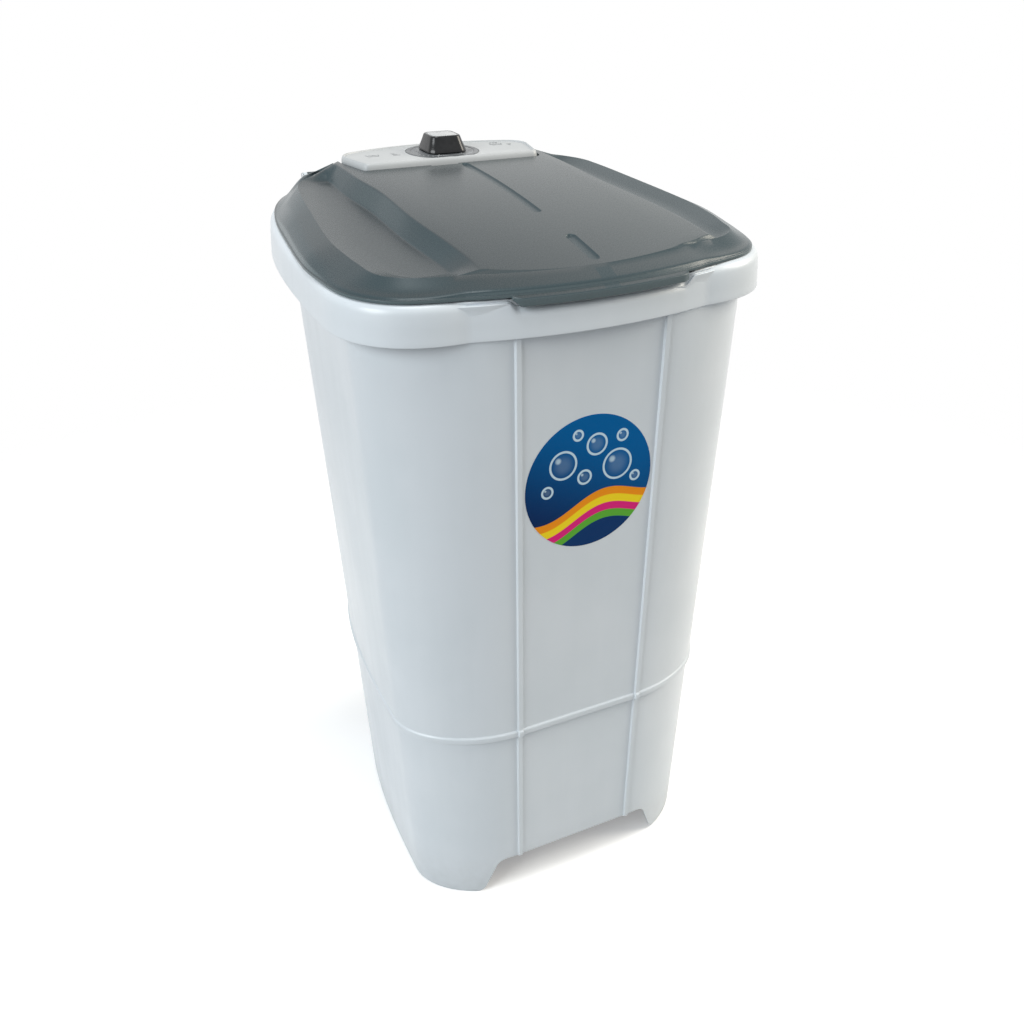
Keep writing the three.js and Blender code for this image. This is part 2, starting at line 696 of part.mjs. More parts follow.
function controlPanel() {
  const { draft, skin: thick, ledge, ledgeEdge, sink } = panelEdge;
  const under = (inset, below) => panelRing(inset, (x, y) => panelTop(y) - below);
  const foot = (inset) => panelRing(inset, (x, y) => shelfTop(x, y) + gap);
  const rings = [
    under(ledge + thick, sink + thick),
    under(ledge - thick, sink + thick),
    under(thick * 2, thick),
    under(thick, thick * 3),
    foot(thick - draft),
    foot(-draft),
    ...panelRound.map(([inset, below]) => under(inset, below)),
    under(ledge, 0),
    under(ledge + ledgeEdge, sink),
  ];
  const posts = panelScrews.map(([x, y]) => {
    return moved(rod(panelBoss.radius, shelfTop(x, y) + gap, panelTop(y) - thick), x, y);
  });
  const pilots = panelScrews.map(([x, y]) => {
    const low = shelfTop(x, y);
    return moved(rod(bossSize.pilot, low, low + bossSize.depth, screwSize.sides), x, y);
  });
  const controls = [-1, 0, 1].map((side) => {
    const radius = side === 0 ? timer.shaft + gap * 2 : screwSize.shank + gap;
    const hole = rod(radius, -overrun * 2, overrun * 2, screwSize.sides);
    return hole.translate([side * timer.screwX, 0, 0]).rotate([THREE.MathUtils.radToDeg(panelTilt), 0, 0])
      .translate([dial.x, dial.y, fieldTop(0, dial.y)]);
  });
  return cut(joined([solid(loft(rings)), ...posts]), [...pilots, ...controls]);
}

// Controls share the panel's tilt and stand on its sunken field

const controls = new THREE.Group();
controls.position.set(dial.x, dial.y, fieldTop(0, dial.y));
controls.rotation.x = panelTilt;
machine.add(controls);

const knob = {
  foot: 25, footDepth: 21, top: 19.5, topDepth: 12.5, height: 17, corner: 6, skirt: 3, bevel: 2,
};
const knobBore = { radius: 3.3, depth: 12 };

function knobRing(half, depth, corner, height) {
  const outline = [
    [half - corner, -depth], [half, corner - depth], [half, depth - corner], [half - corner, depth],
    [corner - half, depth], [-half, depth - corner], [-half, corner - depth], [corner - half, -depth],
  ];
  return lifted(outline, height);
}

function timerKnob() {
  const low = dial.height + gap;
  const high = low + knob.height;
  const rings = [
    knobRing(knob.foot, knob.footDepth, knob.corner, low),
    knobRing(knob.foot, knob.footDepth, knob.corner, low + knob.skirt),
    knobRing(knob.top, knob.topDepth, knob.corner / 2, high - knob.bevel / 2),
    knobRing(knob.top - knob.bevel, knob.topDepth - knob.bevel, knob.corner / 2, high),
  ];
  return solid(loft(rings)).subtract(rod(knobBore.radius, 0, low + knobBore.depth, 12));
}

function dialRing() {
  const profile = [
    [dial.inner, gap], [dial.outer, gap], [dial.outer, dial.edge],
    [dial.top, dial.height], [dial.inner, dial.height],
  ];
  return revolve(profile, 32);
}

function timerBody() {
  const top = -panelEdge.skin - gap;
  const can = block(-timer.half, timer.half, -timer.depth, timer.depth, top - timer.height, top);
  const holes = [rod(timer.shaft + gap, top - timer.bore, 0, 12)];
  for (const side of [-1, 1]) {
    const hole = rod(screwSize.shank + gap, top - timer.bore, 0, screwSize.sides);
    holes.push(moved(hole, side * timer.screwX, 0));
  }
  return cut(can, holes);
}

// Lid: a thin dome with a narrow ridge, two pressed side recesses and a turned-down handle lip

const lid = { rest: 0.5, inset: 2, edge: 3.5, skin: 3, wallRun: 5, slope: 13 };
const border = [
  { inset: 5, base: 3, share: 0.3, frontEase: 0.16, rearEase: 0.27 },
  { inset: 13, base: 1, share: 0.64, frontEase: 0.2, rearEase: 0.4 },
];
const skinShares = { edge: 0.8, border: 0.9, ridge: 0.5, plateau: 0.3 }; // of the skin, moved inwards
const recess = {
  front: 31 - rimPlan.front, frontFull: 61 - rimPlan.front,
  rearFull: rimPlan.back - 107, rear: rimPlan.back - 85,
};
const crown = { high: 45, fall: 32, from: recess.rearFull, length: 399, power: 2.2 };
const lidCorner = {
  front: { x: 110, overX: 70, y: -70, overY: -90 },
  rear: { x: 150, overX: 35, y: 30, overY: 140 },
};
const cornerInset = 5;
const ridgeLine = { front: 15.5, frontY: 29 - rimPlan.front, slopeShare: 0.0545, high: 38 };
const ridgeIn = { side: 29, back: 56, sideY: 40, backY: rimPlan.back - 37 };
const plateau = { x: 10, half: 131, foot: 1, floor: 3.2, rearIn: 26 };
const longGroove = { x: 14, width: 9, length: 195, to: panel.front - 9.5 };
const shortGroove = { x: 14, width: 10, length: 65, to: 107 - rimPlan.front };
const groove = { depth: 1.2, floorShare: 0.7, steps: 6 };
const cutOut = { clear: 3, surround: 6, low: rimHeight + 29, notchX: -14, notchHalf: 18, notch: 4 };
const lip = { half: handleDip.half - 0.5, reach: lidReach, centre: 3, stations: 8 };

// Corners of the lip's section, behind the rim's front or the lip's own, and over the rim
const lipCorners = [
  { on: 'rim', behind: 9, over: 5 },
  { on: 'rim', behind: 1, over: 4.2 },
  { on: 'lip', behind: 5, over: 3 },
  { on: 'lip', behind: 1.5, over: 0.5 },
  { on: 'lip', behind: 0, over: -3 },
  { on: 'lip', behind: 0, over: -5.4 },
  { on: 'lip', behind: 2, over: -6.6 },
  { on: 'rim', behind: -1, over: -6.6 },
  { on: 'rim', behind: 1, over: -5 },
  { on: 'rim', behind: 1.2, over: -3.8 },
  { on: 'lip', behind: 3, over: -3.8 },
  { on: 'lip', behind: 3, over: -1.6 },
  { on: 'rim', behind: 3, over: 0.8 },
  { on: 'rim', behind: 9, over: 0.8 },
];

function smooth(share) {
  const t = Math.min(1, Math.max(0, share));
  return t * t * (3 - 2 * t);
}

function crownAt(y) {
  const share = Math.min(1, Math.max(0, (crown.from - y) / crown.length));
  return crown.high - crown.fall * share ** crown.power;
}

function ridgeAt(y) {
  return Math.min(ridgeLine.high, ridgeLine.front + ridgeLine.slopeShare * (y - ridgeLine.frontY));
}

function ridgeInset(y) {
  const { side, back, sideY, backY } = ridgeIn;
  return side + (back - side) * smooth((y - sideY) / (backY - sideY));
}

function cornerShare(corner, x, y) {
  return smooth((Math.abs(x) - corner.x) / corner.overX) * smooth((y - corner.y) / corner.overY);
}

function borderAt({ base, share, frontEase, rearEase }, x, y) {
  const eased = frontEase * cornerShare(lidCorner.front, x, y) + rearEase * cornerShare(lidCorner.rear, x, y);
  return base + (share - eased) * ridgeAt(y);
}

function recessShare(y) {
  const { front, frontFull, rearFull, rear } = recess;
  return smooth((y - front) / (frontFull - front)) * smooth((rear - y) / (rear - rearFull));
}

function lidRing(insetOf, heightOf) {
  const outer = planRing(rimPlan);
  const inner = planRing(rimPlan, 1);
  return outer.map(([x, y], i) => {
    const inset = insetOf(y) + cornerInset * cornerShare(lidCorner.front, x, y);
    const [px, py] = [x + (inner[i][0] - x) * inset, y + (inner[i][1] - y) * inset];
    return new THREE.Vector3(px, py, rimLine(py) + heightOf(px, py));
  });
}

// A closed dome: rings up to the ridge, then rows across it over the recesses and the plateau
function lidDome(grow, low) {
  const level = (inset, heightOf) => lidRing(() => inset, heightOf);
  const rings = [
    level(lid.inset + grow, () => low),
    level(lid.inset + grow, () => lid.edge - grow * skinShares.edge),
    ...border.map((band) => {
      return level(band.inset + grow * skinShares.border, (x, y) => borderAt(band, x, y) - grow);
    }),
    lidRing((y) => ridgeInset(y) + grow * skinShares.ridge, (x, y) => ridgeAt(y) - grow),
  ];
  const count = rings[0].length;
  const points = rings.flat();
  const faces = [...loft(rings, 'open').getIndex().array];
  const ridge = (rings.length - 1) * count;
  const half = count / 2;
  let before = [ridge];
  for (let i = 1; i < half; i += 1) {
    const [right, left] = [points[ridge + i], points[ridge + count - i]];
    const { y } = right;
    const [top, edge, dip] = [crownAt(y), ridgeAt(y), recessShare(y)];
    const across = [];
    const rearIn = plateau.rearIn * smooth((y - recess.rearFull) / (hinge.y - recess.rearFull));
    for (const side of [1, -1]) {
      const reach = Math.abs(side > 0 ? right.x : left.x);
      const a = plateau.half - rearIn + side * plateau.x - grow * skinShares.plateau;
      const fit = Math.min(1, reach / (a + lid.slope + lid.wallRun * 2));
      const floor = edge - plateau.floor * dip;
      const foot = top + (Math.min(top, edge + plateau.foot) - top) * dip;
      const wallFoot = fit < 1 ? (a + lid.slope + lid.wallRun) * fit : reach - lid.wallRun;
      const wallEnd = edge + (floor - edge) * dip;
      across.push([[a * fit, top], [(a + lid.slope) * fit, foot], [wallFoot, wallEnd]]);
    }
    const row = [ridge + i];
    const [near, far] = across;
    const columns = [...near.reverse(), ...far.map(([x, z]) => [-x, z])];
    for (const [x, z] of columns) {
      points.push(new THREE.Vector3(x, y, rimLine(y) + z - grow));
      row.push(points.length - 1);
    }
    row.push(ridge + count - i);
    joinRows(faces, before, row);
    before = row;
  }
  joinRows(faces, before, [ridge + half]);
  const middle = rings[0].reduce((sum, p) => sum.add(p), new THREE.Vector3()).divideScalar(count);
  points.push(middle);
  for (let j = 0; j < count; j += 1) faces.push(points.length - 1, (j + 1) % count, j);
  return solid(skin(points, faces));
}

// Quads between two rows that run right to left, or a fan where one row is a single point
function joinRows(faces, front, back) {
  const count = Math.max(front.length, back.length);
  for (let k = 0; k + 1 < count; k += 1) {
    if (front.length > 1) faces.push(front[k + 1], front[k], back[Math.min(k, back.length - 1)]);
    if (back.length > 1) faces.push(back[k], back[k + 1], front[Math.min(k + 1, front.length - 1)]);
  }
}

function handleLip() {
  const sections = [];
  for (let i = 0; i <= lip.stations; i += 1) {
    const offset = -lip.half + (2 * lip.half * i) / lip.stations;
    const x = handleDip.x + offset;
    const fronts = {
      rim: -rimPlan.front + rimPlan.bow * (x / rimPlan.panelHalf) ** 2,
      lip: -rimPlan.front - lip.reach + lip.centre * (offset / lip.half) ** 2,
    };
    const base = rimLine(-rimPlan.front);
    sections.push(lipCorners.map(({ on, behind, over }) => {
      return new THREE.Vector3(x, fronts[on] + behind, base + over);
    }));
  }
  return solid(loft(sections));
}

function lidGroove({ x, width, length, to }) {
  const rings = [];
  for (let i = 0; i <= groove.steps; i += 1) {
    const y = to - length + (length * i) / groove.steps;
    const top = rimLine(y) + crownAt(y);
    const corner = (share, z) => new THREE.Vector3(x + (share * width) / 2, y, z);
    rings.push([
      corner(-1, top + overrun),
      corner(1, top + overrun),
      corner(1, top),
      corner(groove.floorShare, top - groove.depth),
      corner(-groove.floorShare, top - groove.depth),
      corner(-1, top),
    ]);
  }
  return solid(loft(rings));
}

function machineLid() {
  const top = rimHeight + rimBand * 3;
  const outline = (inset, low) => {
    const front = prism(panelRing(-inset, 0).map(({ x, y }) => [x, y]), low, top);
    const half = panel.sideHalf + inset;
    return front.add(block(-half, half, panel.side - inset, rimDepth, low, top));
  };
  const notchY = panel.front - cutOut.clear - cutOut.notch;
  const notch = (grow, low) => {
    const half = cutOut.notchHalf + grow;
    return block(cutOut.notchX - half, cutOut.notchX + half, notchY - grow, panel.side, low, top);
  };
  const opening = outline(cutOut.clear, 0).add(notch(0, 0));
  const surround = outline(cutOut.surround, cutOut.low).add(notch(lid.skin, cutOut.low));
  const rearY = hinge.y - hinge.lidEdge;
  const rearWall = block(-rimWidth, rimWidth, rearY - lid.skin, rearY, 0, top);
  const hollow = cut(lidDome(lid.skin, -overrun), [surround, rearWall]);
  const behind = block(-rimWidth, rimWidth, rearY, rimDepth, 0, top);
  const grooves = [longGroove, shortGroove].map(lidGroove);
  const shell = cut(lidDome(0, lid.rest), [hollow, opening, behind, ...grooves]);
  const knuckles = [-1, 1].map((side) => {
    const [x0, x1] = [side * hinge.x - hinge.knuckle / 2, side * hinge.x + hinge.knuckle / 2];
    const low = hingeZ - hinge.earRadius + bite / 2;
    const arm = block(x0, x1, rearY - lid.skin / 2, hinge.y, low, hingeZ + hinge.root);
    return arm.add(rod(hinge.knuckleRadius, x0, x1, 20).rotate([0, 90, 0]).translate([0, hinge.y, hingeZ]));
  });
  const pinHole = rod(hinge.pinRadius + gap, -rimWidth / 2, rimWidth / 2, 12)
    .rotate([0, 90, 0]).translate([0, hinge.y, hingeZ]);
  return joined([shell, handleLip(), ...knuckles]).subtract(pinHole);
}

function hingePin(side) {
  const inner = hinge.x - hinge.knuckle / 2 - gap - hinge.ear;
  const outer = hinge.x + hinge.knuckle / 2 + 2 * gap + hinge.ear;
  const pin = rod(hinge.pinRadius, inner, outer + hinge.head / 2, 12);
  const head = rod(hinge.headRadius, outer, outer + hinge.head, 12);
  return pin.add(head).rotate([0, side * 90, 0]).translate([0, hinge.y, hingeZ]);
}

// Lint filter: a grille that drops into the rails on the right wall and is lifted by its tab

function lintFilter() {
  const { y, width, height, thick, low, bar, cell, tab } = filter;
  const [y0, y1] = [y - width / 2 + gap, y + width / 2 - gap];
  const plate = block(filterX - thick, filterX, y0, y1, low, low + height);
  const tabLow = low + height - tab;
  const handle = block(filterX - thick * 3, filterX - thick + bite, y - tab, y + tab, tabLow, tabLow + thick);
  const windows = [];
  const columns = Math.floor((width - 2 * tab) / cell);
  const rows = Math.floor((height - 2 * tab) / cell);
  for (let i = 0; i < columns; i += 1) {
    for (let j = 0; j < rows; j += 1) {
      const left = y - (columns * cell) / 2 + i * cell;
      const floor = low + bar + j * cell;
      const [w0, w1] = [left + bar / 2, left + cell - bar / 2];
      windows.push(block(filterX - thick * 2, filterX + thick, w0, w1, floor, floor + cell - bar));
    }
  }
  return cut(plate, windows).add(handle);
}

// Agitator: a domed disc with a hub and four swept blades

const spin = {
  shaft: 6, bore: 6 + gap, low: beltLevel - 24, high: padTop + 29,
  tap: 2.7, tapDepth: 18, hub: 18, nutSize: 9.5,
};
const disc = {
  low: padTop + 3, radius: 105, edge: 4, shoulder: 6.4, crown: 12, steps: 6, blades: 4, sections: 6,
  top: spin.high + 8, seat: spin.high, recess: 14, neck: 17, mouth: 15.5,
};
const blade = { from: 16, to: 99, sweep: 0.55, wide: 8, narrow: 4, high: 15, lower: 8 };

function discTop(radius) {
  return disc.low + disc.shoulder + disc.crown * (1 - smooth(radius / disc.radius));
}

function agitator() {
  const profile = [
    [spin.bore, disc.low],
    [disc.radius - disc.edge, disc.low],
    [disc.radius, disc.low + disc.edge / 2],
    [disc.radius - bite, discTop(disc.radius)],
  ];
  for (let i = disc.steps - 1; i >= 1; i -= 1) {
    const radius = (disc.radius * i) / disc.steps;
    profile.push([radius, discTop(radius)]);
  }
  profile.push([disc.neck, disc.top - bite], [disc.mouth, disc.top], [disc.recess, disc.top]);
  profile.push([disc.recess, disc.seat], [spin.bore, disc.seat]);
  const body = revolve(profile, 32);
  const blades = [];
  for (let n = 0; n < disc.blades; n += 1) {
    const sections = [];
    for (let i = 0; i < disc.sections; i += 1) {
      const share = i / (disc.sections - 1);
      const radius = blade.from + (blade.to - blade.from) * share;
      const turn = (2 * Math.PI * n) / disc.blades + blade.sweep * share ** 2;
      const half = (blade.wide + (blade.narrow - blade.wide) * share) / 2;
      const top = discTop(radius) + blade.lower + (blade.high - blade.lower) * (1 - smooth(share)) - bite;
      const at = (across, height) => {
        const [c, s] = [Math.cos(turn), Math.sin(turn)];
        return new THREE.Vector3(radius * c - across * s, radius * s + across * c, height);
      };
      const foot = disc.low + disc.edge / 2;
      sections.push([
        at(-half - bite, foot), at(half + bite, foot), at(half, top - bite), at(half / 2, top),
        at(-half / 2, top), at(-half, top - bite),
      ]);
    }
    blades.push(solid(loft(sections)));
  }
  const hole = rod(disc.recess, disc.seat, disc.top + blade.high, 32).add(rod(spin.bore, 0, disc.top, 16));
  return joined([body, ...blades]).subtract(hole);
}

const capShape = { radius: disc.recess - gap, inner: 10, roof: disc.seat + 5, top: disc.top + 5 };

function agitatorCap() {
  const { radius, inner, roof, top } = capShape;
  const base = disc.seat + gap;
  const profile = [
    [0, roof],
    [inner, roof],
    [inner, base],
    [radius, base],
    [radius, disc.top],
    [inner, top - bite],
    [0, top],
  ];
  return revolve(profile, 24);
}

function agitatorShaft() {
  const tap = rod(spin.tap, spin.high - spin.tapDepth, spin.high + overrun, 10);
  return rod(spin.shaft, spin.low, spin.high - gap, 20).subtract(tap);
}

// Bearing housing under the tub floor, with two bronze bushes and a lip seal

const seal = { radius: 16, low: padTop - 9, high: padTop - 2 };
const bush = { radius: 10, length: 20, inset: 1 };
const upperBushLow = seal.low - bush.inset - bush.length;
const lowerBushLow = housing.low + bush.inset;

function bearingHousing() {
  const flangeTop = tubFloor.under - gap;
  const flangeLow = flangeTop - housing.flangeThick;
  const profile = [
    [housing.seat, housing.low],
    [housing.tube, housing.low],
    [housing.tube, flangeLow - bite * 4],
    [housing.flange - bite * 4, flangeLow],
    [housing.flange, flangeLow + bite],
    [housing.flange, flangeTop],
    [housing.nose, flangeTop],
    [housing.nose, padTop - bite],
    [seal.radius + gap, padTop - bite],
    [seal.radius + gap, seal.low - gap],
    [housing.seat, seal.low - gap],
  ];
  const holes = housingScrews.map((turn) => {
    const hole = rod(screwSize.shank + gap, flangeTop - rimBand, flangeTop + overrun, screwSize.sides);
    return moved(hole, housing.screwRing * Math.cos(turn), housing.screwRing * Math.sin(turn));
  });
  const spots = housingScrews.map((turn) => {
    const hole = rod(screwSize.head + bite, flangeTop - rimBand, flangeLow + bite, screwSize.sides);
    return moved(hole, housing.screwRing * Math.cos(turn), housing.screwRing * Math.sin(turn));
  });
  return moved(cut(revolve(profile, 24), [...holes, ...spots]), 0, agitatorY);
}

// Belt drive: grooved pulleys and a V-belt round both

const pulley = {
  half: 10, groove: 9, rimIn: 14, lipFlat: 2, spoke: 12, spokeThick: 8, spokes: 5,
  hubLow: beltLevel - 12, hubHigh: housing.low - gap,
};
const belt = { outer: 10, inner: 6.4, thick: 7, sides: 24, sink: 1 };

function pulleyProfile(radius, inner) {
  const { half, groove: depth, lipFlat } = pulley;
  const [low, high] = [beltLevel - half, beltLevel + half];
  return [
    [inner, low],
    [radius, low],
    [radius, low + lipFlat],
    [radius - depth, beltLevel - belt.inner / 2 + gap],
    [radius - depth, beltLevel + belt.inner / 2 - gap],
    [radius, high - lipFlat],
    [radius, high],
    [inner, high],
  ];
}

function largePulley() {
  const rim = revolve(pulleyProfile(bigPulleyRadius, bigPulleyRadius - pulley.rimIn), 36);
  const hub = rod(spin.hub, pulley.hubLow, pulley.hubHigh - gap, 24);
  const spokes = [];
  for (let n = 0; n < pulley.spokes; n += 1) {
    const reach = bigPulleyRadius - pulley.rimIn + bite;
    const [low, high] = [beltLevel - pulley.spokeThick / 2, beltLevel + pulley.spokeThick / 2];
    const arm = block(0, reach, -pulley.spoke / 2, pulley.spoke / 2, low, high);
    spokes.push(arm.rotate([0, 0, (360 * n) / pulley.spokes]));
  }
  const bore = rod(spin.bore, 0, rimHeight, 20);
  return moved(joined([rim, hub, ...spokes]).subtract(bore), 0, agitatorY);
}

function driveBelt() {
  const [r1, r2] = [bigPulleyRadius - belt.sink, smallPulleyRadius - belt.sink];
  const lean = Math.asin((r1 - r2) / beltDistance);
  const path = [];
  const arc = (radius, y, from, to, steps) => {
    for (let i = 0; i <= steps; i += 1) {
      const turn = from + ((to - from) * i) / steps;
      path.push({ x: Math.cos(turn), y: Math.sin(turn), radius, middle: y });
    }
  };
  arc(r1, agitatorY, Math.PI - lean, 2 * Math.PI + lean, belt.sides);
  arc(r2, motorY, lean, Math.PI - lean, belt.sides / 2);
  const corners = [
    [0, belt.outer / 2],
    [0, -belt.outer / 2],
    [-belt.thick, -belt.inner / 2],
    [-belt.thick, belt.inner / 2],
  ];
  const rings = path.map(({ x, y, radius, middle }) => corners.map(([out, up]) => {
    return new THREE.Vector3((radius + out) * x, middle + (radius + out) * y, beltLevel + up);
  }));
  return solid(loft(rings, 'looped'));
}

function motorPulley() {
  const body = revolve(pulleyProfile(smallPulleyRadius, spin.bore), 24);
  return moved(body, 0, motorY);
}

function nut(across, bore, low, high) {
  const hole = rod(bore, low - overrun, high + overrun, 16);
  return rod(across / Math.cos(Math.PI / 6), low, high, 6).subtract(hole);
}

// Motor: laminated stator between two bells, rotor with fan, hung from a folded bracket on rubber pads

const coverTop = coverPlate.low + coverPlate.thick;
const motor = {
  shaftLow: coverTop + 13, shaftHigh: beltLevel + 14, statorLow: coverTop + 51, statorHigh: beltLevel - 42,
  stator: 58, window: 31, rotor: 31 - runGap * 2, rotorIn: 2,
  bell: 60, bellDeep: 18, bellSkin: 3, bellEdge: 6,
  fan: 48, fanLow: coverTop + 15, fanHub: 12, fanThick: 3, fanBlade: 10, blades: 7, nose: 13, noseDrop: 6,
  ventIn: 20.8, ventOut: 39.4, boltX: 50, bolt: 2.5, boltHead: 4.5, boltLow: coverTop + 30,
};

function bell(low, high) {
  const inner = motor.stator - motor.bellSkin;
  const profile = [
    [spin.bore, low],
    [motor.nose, low],
    [motor.bell - motor.bellEdge, low],
    [motor.bell, low + bite],
    [motor.bell, high],
    [inner, high],
    [inner - bite, low + motor.bellSkin],
    [motor.nose, low + motor.bellSkin],
    [motor.nose, high - motor.noseDrop],
    [spin.bore, high - motor.noseDrop],
  ];
  const vents = [];
  for (let n = 0; n < motor.blades + 1; n += 1) {
    const slotHigh = low + motor.bellSkin + bite;
    const slot = block(motor.ventIn, motor.ventOut, -motor.bellSkin, motor.bellSkin, low - overrun, slotHigh);
    vents.push(slot.rotate([0, 0, (360 * (n + 1 / 2)) / (motor.blades + 1)]));
  }
  const holes = [-1, 1].map((side) => {
    return moved(rod(motor.bolt + gap, low - overrun, high + overrun, 10), side * motor.boltX, 0);
  });
  return cut(revolve(profile, 24), [...vents, ...holes]);
}

function bottomBell() {
  return moved(bell(motor.statorLow - gap - motor.bellDeep, motor.statorLow - gap), 0, motorY);
}

function topBell() {
  const height = motor.statorHigh + gap;
  const body = bell(-height - motor.bellDeep, -height).mirror([0, 0, 1]);
  return moved(body, 0, motorY);
}

function motorStator() {
  const { statorLow, statorHigh, stator, window, bolt, boltX } = motor;
  const holes = [-1, 1].map((side) => moved(rod(bolt + gap, 0, rimHeight, 10), side * boltX, 0));
  return moved(cut(sleeve(stator, window, statorLow, statorHigh, 24), holes), 0, motorY);
}

function motorRotor() {
  const { rotor, rotorIn, statorLow, statorHigh } = motor;
  return moved(sleeve(rotor, spin.bore, statorLow + rotorIn, statorHigh - rotorIn, 32), 0, motorY);
}

function motorFan() {
  const { fan, fanLow, fanHub, fanThick, fanBlade, blades } = motor;
  const plate = sleeve(fan, spin.bore, fanLow, fanLow + fanThick, 32);
  const hub = sleeve(fanHub, spin.bore, fanLow, fanLow + fanThick + fanBlade, 24);
  const fins = [];
  for (let n = 0; n < blades; n += 1) {
    const top = fanLow + fanThick + fanBlade;
    const fin = block(fanHub - bite, fan - bite, -fanThick / 2, fanThick / 2, fanLow + bite, top);
    fins.push(fin.rotate([0, 0, (360 * n) / blades]));
  }
  return moved(joined([plate, hub, ...fins]), 0, motorY);
}

const bracketLow = motor.statorHigh + 2 * gap + motor.bellDeep;

function motorBracket() {
  const { half, thick, foot, width, hub } = bracket;
  const plate = bracketLow;
  const [y0, y1] = [motorY - width / 2, motorY + width / 2];
  const pieces = [block(-half, half, y0, y1, plate, plate + thick)];
  for (const side of [-1, 1]) {
    const wallIn = side * half;
    const wallOut = side * (half + thick);
    const far = side * (half + foot);
    const [w0, w1] = [Math.min(wallIn, wallOut), Math.max(wallIn, wallOut)];
    pieces.push(block(w0, w1, y0, y1, plate, footTop));
    pieces.push(block(Math.min(wallIn, far), Math.max(wallIn, far), y0, y1, footTop - thick, footTop));
  }
  const holes = [rod(hub, 0, rimHeight, 24).translate([0, motorY, 0])];
  for (const side of [-1, 1]) {
    holes.push(rod(motor.bolt + gap, 0, rimHeight, 10).translate([side * motor.boltX, motorY, 0]));
    const window = width / 4;
    const middle = side * half;
    const opening = block(-window, window, -window, window, plate + hub, footTop - hub);
    holes.push(moved(opening, middle, motorY));
    for (const y of motorBolts) {
      holes.push(rod(screwSize.shank + gap, 0, rimHeight, 10).translate([side * motorPads[1], y, 0]));
    }
  }
  return cut(joined(pieces), holes);
}

function motorPad(x) {
  const low = footTop + gap;
  const [y0, y1] = [motorY - pad.length / 2, motorY + pad.length / 2];
  const body = block(x - pad.width / 2, x + pad.width / 2, y0, y1, low, low + pad.thick);
  return cut(body, motorBolts.map((y) => rod(screwSize.shank + gap, 0, rimHeight, 10).translate([x, y, 0])));
}

// Capacitor in a ring clamp under the tub floor

const can = { radius: 18, low: tubFloor.under - 80, high: tubFloor.under - 12, pinRadius: 3, cap: 4 };
const clamp = {
  thick: 2, low: tubFloor.under - 39, high: tubFloor.under - 23, foot: 16, footThick: 3, arm: 8,
};

function capacitor() {
  const { radius, low, high, cap } = can;
  const profile = [
    [0, low],
    [radius - bite, low],
    [radius, low + bite],
    [radius, high - cap],
    [radius - cap, high],
    [0, high],
  ];
  const ends = [-1, 1].map((side) => {
    return moved(rod(can.pinRadius, low - cap, low + bite, 10), (side * can.radius) / 3, 0);
  });
  return moved(joined([revolve(profile, 28), ...ends]), clampAt.x, clampAt.y);
}

function capacitorClamp() {
  const ring = sleeve(can.radius + gap + clamp.thick, can.radius + gap, clamp.low, clamp.high, 28);
  const near = can.radius + gap + clamp.thick / 2;
  const far = near + clamp.foot;
  const top = tubFloor.under - gap;
  const arm = block(near, near + clamp.thick, -clamp.arm, clamp.arm, clamp.low, top);
  const foot = block(near, far, -clamp.arm, clamp.arm, top - clamp.footThick, top);
  return moved(joined([ring, arm, foot]), clampAt.x, clampAt.y);
}

// Drain elbow: flange under the floor, bend, and a barbed spigot out through the skirt

function drainElbow() {
  const { x, y, pipe, bore, flange, flangeThick, level, bend, out, bendSteps, barb } = drain;
  const top = tubFloor.under - gap;
  const endY = wallBack(level, x) + out;
  const path = [[y, top], [y, level + bend]];
  for (let i = 1; i <= bendSteps; i += 1) {
    const turn = (Math.PI / 2) * (i / bendSteps);
    path.push([y + bend * (1 - Math.cos(turn)), level + bend * (1 - Math.sin(turn))]);
  }
  const ridge = (share) => {
    const from = endY - out * share;
    return [[from, 0], [from + gap, barb], [from + out * barbShares.length, 0]];
  };
  const stops = [
    [endY - out * barbShares.start, 0],
    ...ridge(barbShares.first),
    ...ridge(barbShares.second),
    [endY, -barb],
  ];
  const tube = (radius, extra) => {
    const rings = [];
    path.forEach(([py, pz], i) => {
      const turn = Math.min(1, Math.max(0, (i - 1) / bendSteps)) * (Math.PI / 2);
      rings.push(circle(x, py, pz, radius, turn));
    });
    for (const [py, more] of stops) {
      rings.push(circle(x, py + extra, level, radius + (extra ? 0 : more), Math.PI / 2));
    }
    return rings;
  };
  const outer = solid(loft(tube(pipe, 0)));
  const flat = moved(rod(flange, top - flangeThick, top, 24), x, y);
  const inner = tube(bore, gap);
  inner[0] = circle(x, y, top + overrun, bore, 0);
  return joined([outer, flat]).subtract(solid(loft(inner)));
}

function circle(x, y, z, radius, turn) {
  const ring = [];
  for (let i = 0; i < drain.sides; i += 1) {
    const a = (2 * Math.PI * i) / drain.sides;
    const [u, v] = [radius * Math.cos(a), radius * Math.sin(a)];
    ring.push(new THREE.Vector3(x + u, y + v * Math.cos(turn), z + v * Math.sin(turn)));
  }
  return ring;
}

// Depth of the body's back at a height and a half-width
function wallBack(height, x) {
  const path = halfPath(bodyPlan(height)).reverse();
  return alongX(path, x)[1];
}

function cableGland() {
  const backY = wallBack(gland.z + gland.flange, -gland.x) - skirtInset;
  const flange = rod(gland.flange, backY + gap, backY + gap + gland.thick, 6);
  const barrel = rod(gland.hole, backY - wall - overrun, backY + gap + bite, 20);
  const tail = rod(gland.hole - gland.tailIn, backY + gland.thick, backY + gland.thick + gland.tail, 20);
  const bore = rod(gland.hole - gland.skin, backY - gland.through, backY + gland.through, 16);
  return joined([flange, barrel, tail]).subtract(bore).rotate([-90, 0, 0]).translate([gland.x, 0, gland.z]);
}

